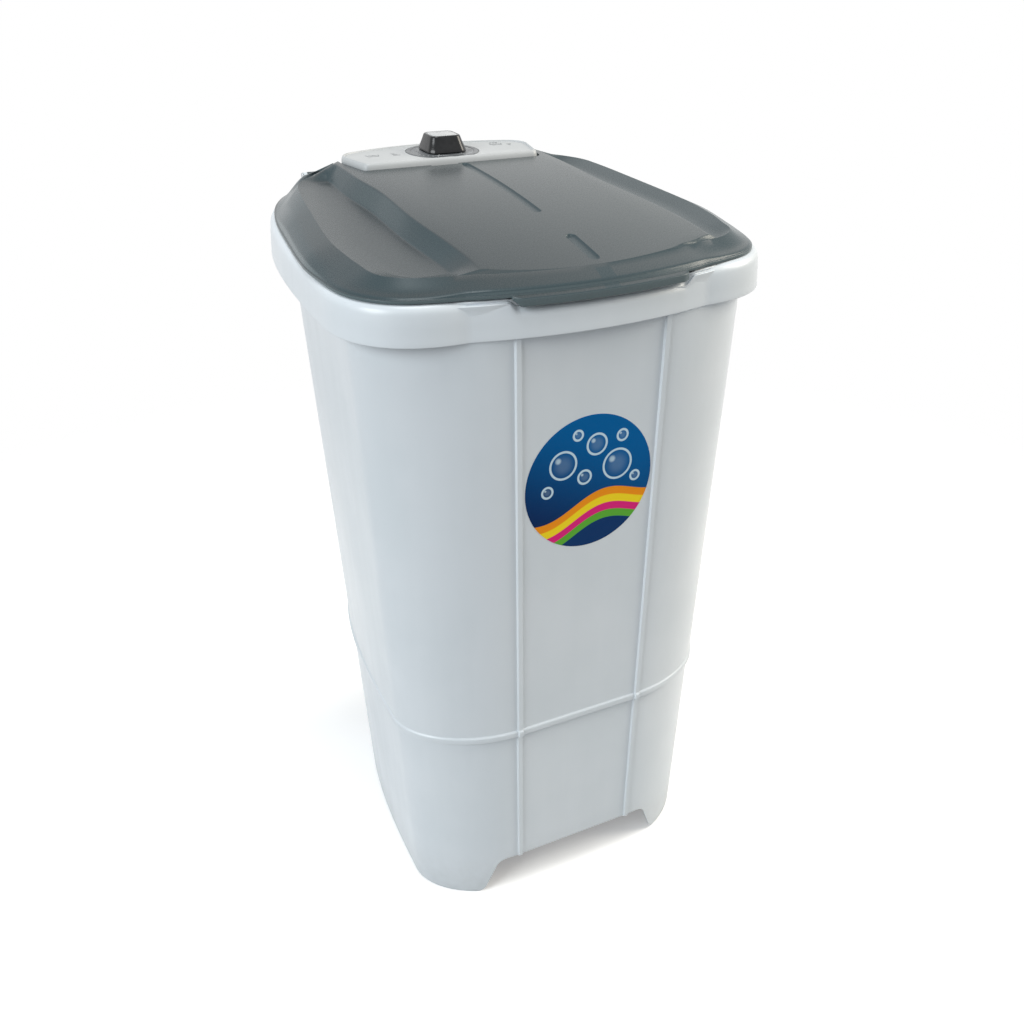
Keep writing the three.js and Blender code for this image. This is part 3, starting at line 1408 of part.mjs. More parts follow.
// Wire cover: a shallow channel up the back wall over the two wire holes
function wireCover() {
  const { half, depth, skin: thick, low, wing, belowRim } = duct;
  const high = rimLine(rimPlan.back) - belowRim;
  const ring = (z, outX, out, from) => {
    const back = bodyPlan(z).back + gap + (z < seamHeight + bead.height ? bead.out + bead.fade : 0);
    const [web, far] = [back + thick, back + out];
    return [
      [-outX - wing, back],
      [-outX - wing, web],
      [-outX, web],
      [-outX, far],
      [outX, far],
      [outX, web],
      [outX + wing, web],
      [outX + wing, back],
      [outX - from, back],
      [outX - from, far - thick],
      [from - outX, far - thick],
      [from - outX, back],
    ].map(([x, y]) => new THREE.Vector3(x, y, z));
  };
  const levels = [low, seamHeight + bead.height - gap, seamHeight + bead.height * 3, high];
  return solid(loft(levels.map((z) => ring(z, half, depth, thick))));
}

// Assembly

place('tub_body', tubBody(), greyPlastic);
place('base_skirt', baseSkirt(), greyPlastic);
place('bottom_cover', bottomCover(), darkPlastic);
place('control_panel', controlPanel(), panelPlastic);
place('lid', machineLid(), smokyPlastic);
place('hinge_pin_right', hingePin(1), zincSteel);
place('hinge_pin_left', hingePin(-1), zincSteel);
place('lint_filter', lintFilter(), whitePlastic);

tubBosses.forEach((at, i) => {
  const [x, y] = tubBossAt(at);
  place(`base_screw_${i + 1}`, screwUp(screw(), x, y, skirtTop - skirtFlange.thick), zincSteel);
});
coverBosses.forEach((at, i) => {
  const [x, y] = coverBossAt(at);
  place(`cover_screw_${i + 1}`, screwUp(screw(), x, y, coverPlate.low), zincSteel);
});
panelScrews.forEach(([x, y], i) => {
  place(`panel_screw_${i + 1}`, screwUp(screw(), x, y, shelfTop(x, y) - shelf.thick), zincSteel);
});

place('dial_ring', dialRing(), silverPrint, controls);
place('timer_knob', timerKnob(), blackGloss, controls);
place('timer_body', timerBody(), darkPlastic, controls);
const timerHigh = dial.height + knobBore.depth;
const timerLow = gap - panelEdge.skin - timer.bore;
place('timer_shaft', rod(timer.shaft, timerLow, timerHigh, 12), brightSteel, controls);
[-1, 1].forEach((side, i) => {
  const body = screw(timer.bore - gap, screwSize.shank, timer.screwHead, dial.height - gap);
  place(`timer_screw_${i + 1}`, moved(body, side * timer.screwX, 0, gap), zincSteel, controls);
});

place('agitator', moved(agitator(), 0, agitatorY), whitePlastic);
place('agitator_cap', moved(agitatorCap(), 0, agitatorY), whitePlastic);
const capScrew = screw(spin.tapDepth - overrun, spin.tap - gap, disc.recess / 2);
place('agitator_screw', moved(capScrew, 0, agitatorY, disc.seat + gap), brightSteel);
place('agitator_shaft', moved(agitatorShaft(), 0, agitatorY), brightSteel);
place('shaft_seal', moved(sleeve(seal.radius, spin.bore, seal.low, seal.high), 0, agitatorY), rubber);
const bushAt = (low) => moved(sleeve(bush.radius, spin.bore, low, low + bush.length), 0, agitatorY);
place('upper_bush', bushAt(upperBushLow), bronze);
place('lower_bush', bushAt(lowerBushLow), bronze);
place('bearing_housing', bearingHousing(), castAlloy);
housingScrews.forEach((turn, i) => {
  const [x, y] = [housing.screwRing * Math.cos(turn), agitatorY + housing.screwRing * Math.sin(turn)];
  const seat = tubFloor.under - gap - housing.flangeThick + bite;
  place(`housing_screw_${i + 1}`, screwUp(screw(), x, y, seat), zincSteel);
});
place('large_pulley', largePulley(), darkPlastic);
const hubNut = nut(spin.nutSize, spin.bore, spin.low + spin.shaft, pulley.hubLow - gap);
place('pulley_nut', moved(hubNut, 0, agitatorY), zincSteel);
place('drive_belt', driveBelt(), rubber);

place('motor_pulley', motorPulley(), castAlloy);
place('motor_shaft', moved(rod(spin.shaft, motor.shaftLow, motor.shaftHigh, 20), 0, motorY), brightSteel);
place('motor_rotor', motorRotor(), stackSteel);
place('motor_stator', motorStator(), stackSteel);
place('motor_top_bell', topBell(), castAlloy);
place('motor_bottom_bell', bottomBell(), castAlloy);
place('motor_fan', motorFan(), darkPlastic);
place('motor_bracket', motorBracket(), zincSteel);
const boltTop = bracketLow + bracket.thick + gap;
[-1, 1].forEach((side, i) => {
  const bolt = screw(boltTop - motor.boltLow, motor.bolt, motor.boltHead);
  place(`motor_bolt_${i + 1}`, moved(bolt, side * motor.boltX, motorY, boltTop), zincSteel);
});
place('motor_pad_right', motorPad(motorPads[1]), rubber);
place('motor_pad_left', motorPad(motorPads[0]), rubber);
motorPads.flatMap((x) => motorBolts.map((y) => [x, y])).forEach(([x, y], i) => {
  const bolt = screw(pad.thick + bracket.thick + bracket.hold);
  place(`mount_bolt_${i + 1}`, screwUp(bolt, x, y, footTop - bracket.thick), zincSteel);
});

place('capacitor', capacitor(), whitePlastic);
place('capacitor_clamp', capacitorClamp(), zincSteel);
place('drain_elbow', drainElbow(), darkPlastic);
place('cable_gland', cableGland(), darkPlastic);
place('wire_cover', wireCover(), greyPlastic);

export default machine;
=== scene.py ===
import json
from math import atan, cos, degrees, hypot, pi, radians, sin, sqrt

import bmesh
import bpy
from mathutils import Matrix, Vector


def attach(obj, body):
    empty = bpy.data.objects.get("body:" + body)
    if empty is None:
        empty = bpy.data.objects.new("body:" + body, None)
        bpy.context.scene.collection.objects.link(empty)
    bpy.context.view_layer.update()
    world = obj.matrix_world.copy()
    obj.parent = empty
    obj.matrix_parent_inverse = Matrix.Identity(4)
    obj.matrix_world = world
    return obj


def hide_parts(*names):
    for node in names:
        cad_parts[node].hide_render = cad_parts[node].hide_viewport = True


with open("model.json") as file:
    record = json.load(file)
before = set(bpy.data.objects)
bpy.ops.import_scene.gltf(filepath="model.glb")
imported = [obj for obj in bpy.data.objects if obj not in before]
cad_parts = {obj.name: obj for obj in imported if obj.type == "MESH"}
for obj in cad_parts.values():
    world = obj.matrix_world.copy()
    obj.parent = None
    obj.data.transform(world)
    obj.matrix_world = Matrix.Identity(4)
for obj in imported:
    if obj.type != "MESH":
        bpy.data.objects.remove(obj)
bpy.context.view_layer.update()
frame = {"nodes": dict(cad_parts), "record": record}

# Measures in millimetres. Y is counted from the middle of the rim, SHIFT behind the frame's origin

MM = 0.001
SHIFT = 2.5

RIM = dict(front=257, back=257, half=250, wide=-129, flat=136, bow=16.6, back_half=148, back_bow=2,
           front_power=2.4, back_power=2.44)
TOP = dict(front=245, back=242, half=233.7, wide=-151, flat=91, bow=0, back_half=117, back_bow=0,
           front_power=1.85, back_power=2.44)
FLOOR = dict(TOP, front=244, back=204, half=217.5)
BODY_TOP = 812
RIB_X, RIB_HALF, RIB_HEIGHT, RIB_EDGE = 87, 4, 2.6, 1.5
RIM_HEIGHT, RIM_SLOPE, RIM_BAND, RIM_SKIN, RIM_FLARE = 851, 0.013, 38.5, 3, 0.98
WALL = 4
SEAM = 296.7
DIP_X, DIP_HALF, DIP_END, DIP_DEPTH = 10, 94.5, 108.5, 9
AGITATOR_Y = -16
CLEAR, OVERCUT = 0.3, 6
OUTSIDE = 2 * RIM["front"]
# The lid's raised middle: height and fall over the rim, and its right edge, which spreads to the front
CROWN_HIGH, CROWN_FALL, CROWN_BACK, CROWN_LONG, CROWN_POWER = 48.3, 36.6, 150, 399, 2.2
CROWN_EDGE, CROWN_SPREAD, SPREAD_BACK, SPREAD_LONG = 128.5, 32, 20, 230


def smooth(share):
    t = min(1, max(0, share))
    return t * t * (3 - 2 * t)


def rim_line(y):
    return RIM_HEIGHT + RIM_SLOPE * y


def plan_at(height):
    """The outline of the tub's body at a height."""
    share = 1 - height / BODY_TOP
    plan = dict(TOP)
    for key in ("front", "back", "half"):
        plan[key] += (FLOOR[key] - TOP[key]) * share
    return plan


# Outlines seen from above: front, rounded corner, long side and back, then the mirror image

FRONT_STEPS, CORNER_STEPS, REAR_STEPS = 24, 120, 240


def half_path(plan):
    path = []
    for i in range(FRONT_STEPS + 1):
        share = i / FRONT_STEPS
        path.append((plan["flat"] * share, plan["bow"] * share**2 - plan["front"]))
    across, along = plan["half"] - plan["flat"], plan["wide"] + plan["front"] - plan["bow"]
    power = 2 / plan["front_power"]
    for i in range(1, CORNER_STEPS + 1):
        turn = pi / 2 * i / CORNER_STEPS
        x = plan["flat"] + across * sin(turn)**power
        path.append((x, plan["wide"] - along * abs(cos(turn))**power))
    across, along = plan["half"] - plan["back_half"], plan["back"] - plan["back_bow"] - plan["wide"]
    power = 2 / plan["back_power"]
    for i in range(1, REAR_STEPS + 1):
        turn = pi / 2 * i / REAR_STEPS
        x = plan["back_half"] + across * abs(cos(turn))**power
        path.append((x, plan["wide"] + along * sin(turn)**power))
    path.append((0, plan["back"]))
    return path


def crossing(path, axis, value):
    """The other coordinate of a path where one coordinate first reaches a value."""
    other = 1 - axis
    for a, b in zip(path, path[1:]):
        if b[axis] >= value:
            return a[other] + (b[other] - a[other]) * (value - a[axis]) / (b[axis] - a[axis])


FRONT_STATIONS = [0, 14, 28, 42, 56, 68, 77]
RIB_STATIONS = [RIB_X + dx for dx in (-4.6, -4, -3.5, -3, -2.5, -1.2, 1.2, 2.5, 3, 3.5, 4, 4.6)]
DIP_STATIONS = [93 + 2 * i for i in range(15)]
SIDE_STEPS = 150
stations = {}


def plan_stations(plan):
    """Points and outward directions round a plan, anticlockwise from above."""
    key = tuple(sorted(plan.items()))
    if key in stations:
        return stations[key]
    path = half_path(plan)
    half = [(x, crossing(path, 0, x)) for x in FRONT_STATIONS + RIB_STATIONS + DIP_STATIONS]
    start = next(i for i, (x, _) in enumerate(path) if x > half[-1][0])
    rest = [half[-1]] + path[start:]
    runs = [0]
    for (x0, y0), (x1, y1) in zip(rest, rest[1:]):
        runs.append(runs[-1] + hypot(x1 - x0, y1 - y0))
    k = 1
    for n in range(1, SIDE_STEPS + 1):
        want = runs[-1] * n / (SIDE_STEPS + 1)
        while runs[k] < want:
            k += 1
        share = (want - runs[k - 1]) / (runs[k] - runs[k - 1])
        (x0, y0), (x1, y1) = rest[k - 1], rest[k]
        half.append((x0 + (x1 - x0) * share, y0 + (y1 - y0) * share))
    half.append(path[-1])
    ring = half + [(-x, y) for x, y in half[-2:0:-1]]
    found = []
    for i, (x, y) in enumerate(ring):
        (px, py), (nx, ny) = ring[i - 1], ring[(i + 1) % len(ring)]
        length = hypot(nx - px, ny - py)
        found.append((x, y, (ny - py) / length, (px - nx) / length))
    stations[key] = found
    return found


def plan_ring(plan, inset=0, ribbed=False):
    ring = []
    for x, y, nx, ny in plan_stations(plan):
        out = -inset
        if ribbed and y < 0:
            out += RIB_HEIGHT * smooth((RIB_HALF - abs(abs(x) - RIB_X)) / RIB_EDGE)
        ring.append((x + nx * out, y + ny * out))
    return ring


def lifted(ring, height):
    return [Vector((x, y, height(x, y) if callable(height) else height)) for x, y in ring]


def wall_ring(height, inset=0, ribbed=False):
    return lifted(plan_ring(plan_at(height), inset, ribbed), height)


def dip_at(x, y):
    if y > 0:
        return 0
    return DIP_DEPTH * smooth((DIP_END - abs(x - DIP_X)) / (DIP_END - DIP_HALF))


def rim_ring(plan, inset, below, dip_share=0, ribbed=False):
    def height(x, y):
        return rim_line(y) - below - dip_share * dip_at(x, y)

    return lifted(plan_ring(plan, inset, ribbed), height)


# Closed bodies, joined and cut

CORNER_SHARE = 0.45


def placed(name, data):
    thing = bpy.data.objects.new(name, data)
    bpy.context.scene.collection.objects.link(thing)
    return thing


def new_piece(name, points, faces):
    mesh = bpy.data.meshes.new(name)
    mesh.from_pydata([((x * MM), (y + SHIFT) * MM, z * MM) for x, y, z in points], [], faces)
    shape = bmesh.new()
    shape.from_mesh(mesh)
    bmesh.ops.remove_doubles(shape, verts=shape.verts, dist=1e-7)
    bmesh.ops.recalc_face_normals(shape, faces=shape.faces)
    shape.to_mesh(mesh)
    shape.free()
    return placed(name, mesh)


def bend(start, corner, end, t):
    """A place on the curve from start to end that is drawn towards the corner."""
    return start * (1 - t)**2 + corner * (2 * t * (1 - t)) + end * t**2


def rounded(rings, radii, steps=4, looped=False):
    """Rings with the corners of each lengthwise line rounded by a radius."""
    made = []
    last = len(rings) - 1
    for i, ring in enumerate(rings):
        radius = radii[i] if isinstance(radii, (list, tuple)) else radii
        if not radius or (not looped and i in (0, last)):
            made.append(ring)
            continue
        starts, ends = [], []
        for point, a, b in zip(ring, rings[i - 1], rings[(i + 1) % len(rings)]):
            back, ahead = a - point, b - point
            starts.append(point + back.normalized() * min(radius, back.length * CORNER_SHARE))
            ends.append(point + ahead.normalized() * min(radius, ahead.length * CORNER_SHARE))
        for k in range(steps + 1):
            made.append([bend(*corner, k / steps) for corner in zip(starts, ring, ends)])
    return made


def round_rows(rows, steps=4, looped=False):
    """The rings of (ring, corner radius) rows, rounded."""
    rings, radii = zip(*rows)
    return rounded(rings, radii, steps, looped)


def round_line(points, radius, steps=4, looped=True):
    return [ring[0] for ring in rounded([[point] for point in points], radius, steps, looped)]


def round_outline(outline, radius, steps=4):
    return [(p.x, p.y) for p in round_line([Vector((x, y, 0)) for x, y in outline], radius, steps)]


def faces_between(low, high, count):
    """Faces that join a ring of points from number low on to one from number high on."""
    return [(low + j, low + (j + 1) % count, high + (j + 1) % count, high + j) for j in range(count)]


def loft(name, rings, looped=False):
    count = len(rings[0])
    points = [point for ring in rings for point in ring]
    faces = []
    for i in range(len(rings) if looped else len(rings) - 1):
        faces += faces_between(i * count, (i + 1) % len(rings) * count, count)
    if not looped:
        faces.append(tuple(range(count - 1, -1, -1)))
        faces.append(tuple(range(len(points) - count, len(points))))
    return new_piece(name, points, faces)


def revolve(profile, sides=64, centre=(0, 0), radius=0, steps=3):
    """A profile of (radius, height) points turned about a standing axis."""
    on_axis = profile[0][0] == 0
    outline = [Vector((r, 0, z)) for r, z in profile]
    if radius:
        outline = round_line(outline, radius, steps, not on_axis)
    points, faces = [], []
    count = len(outline)
    for n in range(sides):
        c, s = cos(2 * pi * n / sides), sin(2 * pi * n / sides)
        points += [Vector((centre[0] + p.x * c, centre[1] + p.x * s, p.z)) for p in outline]
    for n in range(sides):
        here, ahead = n * count, (n + 1) % sides * count
        for k in range(count if not on_axis else count - 1):
            nxt = (k + 1) % count
            faces.append((here + k, ahead + k, ahead + nxt, here + nxt))
    return new_piece("turned", points, faces)


def rod(radius, low, high, sides=48, centre=(0, 0), edge=0.0):
    return revolve([(0, low), (radius, low), (radius, high), (0, high)], sides, centre, edge)


def prism(outline, low, high):
    return loft("prism", [[Vector((x, y, z)) for x, y in outline] for z in (low, high)])


def block(x0, x1, y0, y1, z0, z1, edge=0.0):
    piece = prism([(x0, y0), (x1, y0), (x1, y1), (x0, y1)], z0, z1)
    if edge:
        soften(piece, edge)
    return piece


def seen_mesh(thing):
    """The mesh of an object with its modifiers applied."""
    bpy.context.view_layer.update()
    return bpy.data.meshes.new_from_object(thing.evaluated_get(bpy.context.evaluated_depsgraph_get()))


def baked(piece):
    mesh = seen_mesh(piece)
    piece.modifiers.clear()
    piece.data = mesh
    return piece


def soften(piece, width, segments=2):
    step = piece.modifiers.new("edges", "BEVEL")
    step.width = width * MM
    step.segments = segments
    step.limit_method = "ANGLE"
    return baked(piece)


def combined(piece, tools, operation):
    group = bpy.data.collections.new("tools")
    bpy.context.scene.collection.children.link(group)
    for tool in tools:
        group.objects.link(tool)
    step = piece.modifiers.new("shape", "BOOLEAN")
    step.operation = operation
    step.operand_type = "COLLECTION"
    step.solver = "MANIFOLD"
    step.collection = group
    baked(piece)
    for tool in tools:
        bpy.data.objects.remove(tool)
    bpy.data.collections.remove(group)
    return piece


def joined(piece, tools):
    return combined(piece, tools, "UNION")


def cut(piece, tools):
    return combined(piece, tools, "DIFFERENCE")


def place_at(x, y, z, angle, axis):
    return Matrix.Translation((x * MM, y * MM, z * MM)) @ Matrix.Rotation(radians(angle), 4, axis)


def turned(piece, angle, axis, x=0, y=0, z=0):
    """The piece's points turned about an axis through the origin, then moved."""
    home = Matrix.Translation((0, -SHIFT * MM, 0))
    piece.data.transform(home.inverted() @ place_at(x, y, z, angle, axis) @ home)
    return piece


def done(piece, name, slot, body, replaces=(), angle=32, material=None):
    """The finished piece: named, with its material, smooth up to an angle, on its body."""
    piece.name = name
    piece.data.name = name
    piece.data.materials.clear()
    piece.data.materials.append(material or finishes[slot])
    piece.data.shade_smooth()
    piece.data.set_sharp_from_angle(angle=radians(angle))
    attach(piece, body)
    if replaces:
        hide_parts(*replaces)


# Materials


def tone(*screen):
    """A colour as seen on screen, 0 to 255, turned into light."""
    shares = [value / 255 for value in screen]
    return tuple(s / 12.92 if s <= 0.04045 else ((s + 0.055) / 1.055)**2.4 for s in shares) + (1,)


def spaced(sockets):
    return {key.replace("_", " "): value for key, value in sockets.items()}


class Signal:
    """A socket that takes part in sums."""

    def __init__(self, nodes, socket):
        self.nodes, self.socket = nodes, socket

    def __getitem__(self, output):
        return Signal(self.nodes, self.socket.node.outputs[output])

    def maths(self, operation, *values):
        sockets = dict(enumerate((self,) + values))
        return self.nodes.add("ShaderNodeMath", {"operation": operation}, sockets)

    def __add__(self, other):
        return self.maths("ADD", other)

    def __sub__(self, other):
        return self.maths("SUBTRACT", other)

    def __rsub__(self, other):
        return self.maths("MULTIPLY", -1.0) + other

    def __mul__(self, other):
        return self.maths("MULTIPLY", other)

    def __truediv__(self, other):
        return self.maths("DIVIDE", other)

    __radd__, __rmul__ = __add__, __mul__


class Nodes:
    """A node tree that is filled through one method."""

    def __init__(self, owner):
        owner.use_nodes = True
        self.tree = owner.node_tree
        self.tree.nodes.clear()

    def feed(self, node, sockets):
        for key, value in sockets.items():
            if isinstance(value, Signal):
                self.tree.links.new(value.socket, node.inputs[key])
            else:
                node.inputs[key].default_value = value

    def add(self, kind, settings, sockets, output=0):
        node = self.tree.nodes.new(kind)
        for key, value in settings.items():
            setattr(node, key, value)
        self.feed(node, sockets)
        return Signal(self, node.outputs[output]) if node.outputs else None

    def seen(self):
        """1 for what the camera sees, straight or in a gloss, and 0 for light that only falls on things."""
        ray = self.add("ShaderNodeLightPath", {}, {}, "Is Camera Ray")
        return ray.maths("MAXIMUM", ray["Is Transmission Ray"]).maths("MAXIMUM", ray["Is Glossy Ray"])


class Finish(Nodes):
    """A material on one glossy shader."""

    def __init__(self, name, **fixed):
        self.material = bpy.data.materials.new(name)
        super().__init__(self.material)
        self.surface = self.add("ShaderNodeBsdfPrincipled", {}, spaced(fixed))
        self.add("ShaderNodeOutputMaterial", {}, {"Surface": self.surface})
        self.place = self.add("ShaderNodeTexCoord", {}, {}, "Object")

    def set(self, **sockets):
        self.feed(self.surface.socket.node, spaced(sockets))
        return self.material

    def noise(self, scale, detail=2.0, rough=0.5, place=None):
        sockets = {"Vector": place or self.place, "Scale": scale, "Detail": detail, "Roughness": rough}
        return self.add("ShaderNodeTexNoise", {}, sockets, "Fac")

    def stretched(self, *scale):
        return self.add("ShaderNodeMapping", {}, {"Vector": self.place, "Scale": scale}, "Vector")

    def mix(self, share, a, b):
        return self.add("ShaderNodeMix", {"data_type": "RGBA"}, {0: share, 6: a, 7: b}, 2)

    def axes(self):
        split = self.add("ShaderNodeSeparateXYZ", {}, {"Vector": self.place})
        return split["X"], split["Y"], split["Z"]

    def between(self, value, low, high, to_low=0.0, to_high=1.0):
        sockets = {"Value": value, "From Min": low, "From Max": high, "To Min": to_low, "To Max": to_high}
        return self.add("ShaderNodeMapRange", {"interpolation_type": "SMOOTHSTEP"}, sockets)

    def bump(self, height, strength, depth):
        sockets = {"Height": height, "Strength": strength, "Distance": depth}
        return self.add("ShaderNodeBump", {}, sockets, "Normal")

    def flow(self):
        """Faint upright flow marks of moulded plastic."""
        return self.noise(26.0, 2.0, 0.5, self.stretched(1.0, 1.0, 0.12))

    def skin(self, grain):
        """The fine skin of moulded plastic."""
        fine = self.noise(1400.0, 1.0, 0.5) * 0.4 + self.noise(160.0, 2.0, 0.5) * 0.6
        return self.bump(fine, grain, 0.0004)


def moulded(name, light, dark, rough, grain, coat, scale=9.0):
    """Injection-moulded plastic: slow shifts of tone, a fine skin and faint flow marks."""
    finish = Finish(name, Coat_Roughness=0.18, IOR=1.49)
    slow, flow, speck = finish.noise(scale, 3.0, 0.55), finish.flow(), finish.noise(900.0, 2.0, 0.6)
    share = slow * 0.7 + flow * 0.2 + speck * 0.1
    return finish.set(
        Base_Color=finish.mix(finish.between(share, 0.36, 0.64), tone(*light), tone(*dark)),
        Roughness=finish.between(slow * 0.6 + speck * 0.4, 0.3, 0.7, rough - 0.05, rough + 0.07),
        Coat_Weight=finish.between(flow, 0.3, 0.7, coat * 0.7, coat),
        Normal=finish.skin(grain),
    )


def metal(name, light, dark, rough, scale, grain, streak=(1.0, 1.0, 1.0)):
    """Bare or plated metal with a drawn, cast or spangled grain."""
    finish = Finish(name)
    lines = finish.noise(scale, 3.0, 0.6, finish.stretched(*streak))
    cloud = finish.noise(38.0, 3.0, 0.6)
    share = lines * 0.5 + cloud * 0.5
    return finish.set(
        Base_Color=finish.mix(finish.between(share, 0.35, 0.65), tone(*light), tone(*dark)),
        Roughness=finish.between(share, 0.3, 0.7, rough - 0.08, rough + 0.12),
        Metallic=finish.between(cloud, 0.2, 0.8, 0.9, 1.0),
        Normal=finish.bump(lines, grain, 0.0003),
    )


def body_finish():
    """Pale moulded plastic with a little dust and scuffing near the floor."""
    finish = Finish("moulded_body", Coat_Roughness=0.2, IOR=1.49)
    up = finish.axes()[2]
    slow, flow, speck = finish.noise(6.0, 3.0, 0.55), finish.flow(), finish.noise(900.0, 2.0, 0.6)
    share = finish.between(slow * 0.6 + flow * 0.3 + speck * 0.1, 0.36, 0.64)
    dusty = finish.noise(60.0, 4.0, 0.6) * finish.between(up, 0.1, 0.0)
    scratched = finish.noise(70.0, 5.0, 0.7, finish.stretched(1.0, 1.0, 7.0))
    scuffs = finish.between(scratched, 0.66, 0.74) * finish.between(up, 0.34, 0.02)
    marked = dusty * 0.5 + scuffs * 0.25
    return finish.set(
        Base_Color=finish.mix(marked, finish.mix(share, BODY_LIGHT, BODY_DARK), BODY_DUST),
        Roughness=finish.between(slow * 0.6 + speck * 0.4, 0.3, 0.7, 0.33, 0.43) + marked * 0.2,
        Coat_Weight=finish.between(flow, 0.3, 0.7, 0.2, 0.3),
        Normal=finish.skin(0.14),
    )


def smoky_finish():
    """Tinted see-through plastic: the tub shows faintly through it. Its colour carries painted shade: darker
    to the left, in the grooves, in the right recess and on steep faces, with a lighter painted tone on
    upright faces.
    """
    finish = Finish("smoky_lid", IOR=1.49, Coat_Roughness=0.08, Specular_IOR_Level=0.24, Alpha=0.95)
    across, along, up = finish.axes()
    facing = finish.add("ShaderNodeTexCoord", {}, {}, "Normal")
    level = finish.add("ShaderNodeSeparateXYZ", {}, {"Vector": facing}, "Z")
    speck = finish.noise(1100.0, 2.0, 0.6)
    cloud = finish.noise(7.0, 1.0, 0.5)
    # Painted shade: the lid darker towards the left and lighter towards the right, with a little random
    # cloud
    flat = finish.mix(finish.between(across + cloud * 0.04, -0.13, 0.27), LID_SHADED_LEFT, LID_LIGHT)
    # Painted shade in the two grooves, found by their depth below the raised middle
    fall = (((CROWN_BACK + SHIFT) * MM - along) / (CROWN_LONG * MM)).maths("MAXIMUM", 0.0)
    fall = fall.maths("POWER", CROWN_POWER) * (CROWN_FALL * MM)
    sunk = along * RIM_SLOPE + (RIM_HEIGHT + CROWN_HIGH) * MM - fall - up
    beside = (across - 0.0105).maths("ABSOLUTE")
    pressed = finish.between(sunk, 0.0003, 0.0013) * finish.between(beside, 0.009, 0.008)
    flat = finish.mix(pressed * 0.8, flat, LID_PAINTED_SHADE)
    # Painted shade in the recess on the right of the raised middle
    start, edge = (SPREAD_BACK + SHIFT) * MM, CROWN_EDGE * MM
    edge = finish.between(along, start, start - SPREAD_LONG * MM, edge, edge + CROWN_SPREAD * MM)
    deep = finish.between(across - edge, 0.0, 0.01) * finish.between(along, -0.2, -0.17)
    flat = finish.mix(deep * 0.75, flat, LID_PAINTED_SHADE)
    # Painted light and shade by facing: steep faces darker, upright faces in a lighter painted tone
    steep_face_shade = finish.mix(finish.between(level + speck * 0.02, 0.99, 0.84), flat, LID_PAINTED_SHADE)
    return finish.set(
        Base_Color=finish.mix(finish.between(level, 0.6, 0.3), steep_face_shade, LID_UPRIGHT_PAINTED_LIGHT),
        Roughness=finish.between(speck, 0.3, 0.7, 0.24, 0.3),
        Coat_Weight=finish.between(speck, 0.3, 0.7, 0.02, 0.05),
    )


def gloss_finish():
    finish = Finish("knob_gloss", IOR=1.5, Coat_Roughness=0.04, Specular_IOR_Level=0.3)
    slow = finish.noise(160.0, 3.0, 0.5)
    return finish.set(
        Base_Color=finish.mix(slow, tone(9, 11, 14), tone(16, 18, 21)),
        Roughness=finish.between(slow, 0.3, 0.7, 0.16, 0.24),
        Coat_Weight=finish.between(slow, 0.3, 0.7, 0.1, 0.2),
        Normal=finish.bump(finish.noise(420.0, 2.0, 0.5), 0.06, 0.0002),
    )


def rubber_finish():
    finish = Finish("belt_rubber")
    fine = finish.noise(800.0, 4.0, 0.6)
    share = finish.noise(45.0, 3.0, 0.6) * 0.6 + fine * 0.4
    return finish.set(
        Base_Color=finish.mix(finish.between(share, 0.35, 0.65), tone(34, 34, 35), tone(24, 24, 25)),
        Roughness=finish.between(fine, 0.3, 0.7, 0.62, 0.85),
        Normal=finish.bump(fine, 0.4, 0.0004),
    )


def film_finish():
    """Printed film: a blue ground, wavy colour bands low down and bubbles above them."""
    finish = Finish("printed_film", Coat_Roughness=0.05, IOR=1.5, Specular_IOR_Level=0.04)
    x, _, z = finish.axes()
    u = x / (FILM_RADIUS * MM)
    v = (z - FILM_HEIGHT * MM) / (FILM_RADIUS * MM)
    fine = finish.noise(1300.0, 2.0, 0.6)

    def distance(across, up):
        return ((u - across) * (u - across) + (v - up) * (v - up)).maths("SQRT")

    ground = finish.between(v * 0.8 + u * 0.35 + fine * 0.05, -0.9, 0.8)
    colour = finish.mix(ground, tone(2, 34, 84), tone(0, 96, 160))
    wave = (u * 3.4 + 0.8).maths("SINE") * 0.13 - 0.3 + u * 0.12
    for drop, band in BANDS:
        colour = finish.mix(finish.between(wave - drop - v, -0.006, 0.006), colour, tone(*band))
    for across, up, size in BUBBLES:
        reach = distance(across, up)
        edge = finish.between((reach - size).maths("ABSOLUTE"), 0.02, 0.012)
        shine = finish.between(distance(across - size * 0.4, up + size * 0.4), size * 0.3, size * 0.1)
        inside = finish.between(reach, size, size * 0.2)
        colour = finish.mix(edge * 0.85 + shine * 0.6 + inside * 0.12, colour, tone(214, 238, 250))
    return finish.set(
        Base_Color=colour,
        Roughness=finish.between(fine, 0.3, 0.7, 0.2, 0.28),
        Coat_Weight=finish.between(fine, 0.3, 0.7, 0.02, 0.05),
        Normal=finish.bump(finish.noise(240.0, 2.0, 0.5), 0.03, 0.0003),
    )


def ink_finish(name, light, dark):
    finish = Finish(name, IOR=1.5)
    fine = finish.noise(2200.0, 3.0, 0.6)
    return finish.set(
        Base_Color=finish.mix(finish.between(fine, 0.35, 0.65), tone(*light), tone(*dark)),
        Roughness=finish.between(fine, 0.3, 0.7, 0.34, 0.46),
        Normal=finish.bump(fine, 0.1, 0.0001),
    )


BODY_LIGHT, BODY_DARK, BODY_DUST = tone(213, 220, 226), tone(207, 215, 221), tone(176, 180, 181)
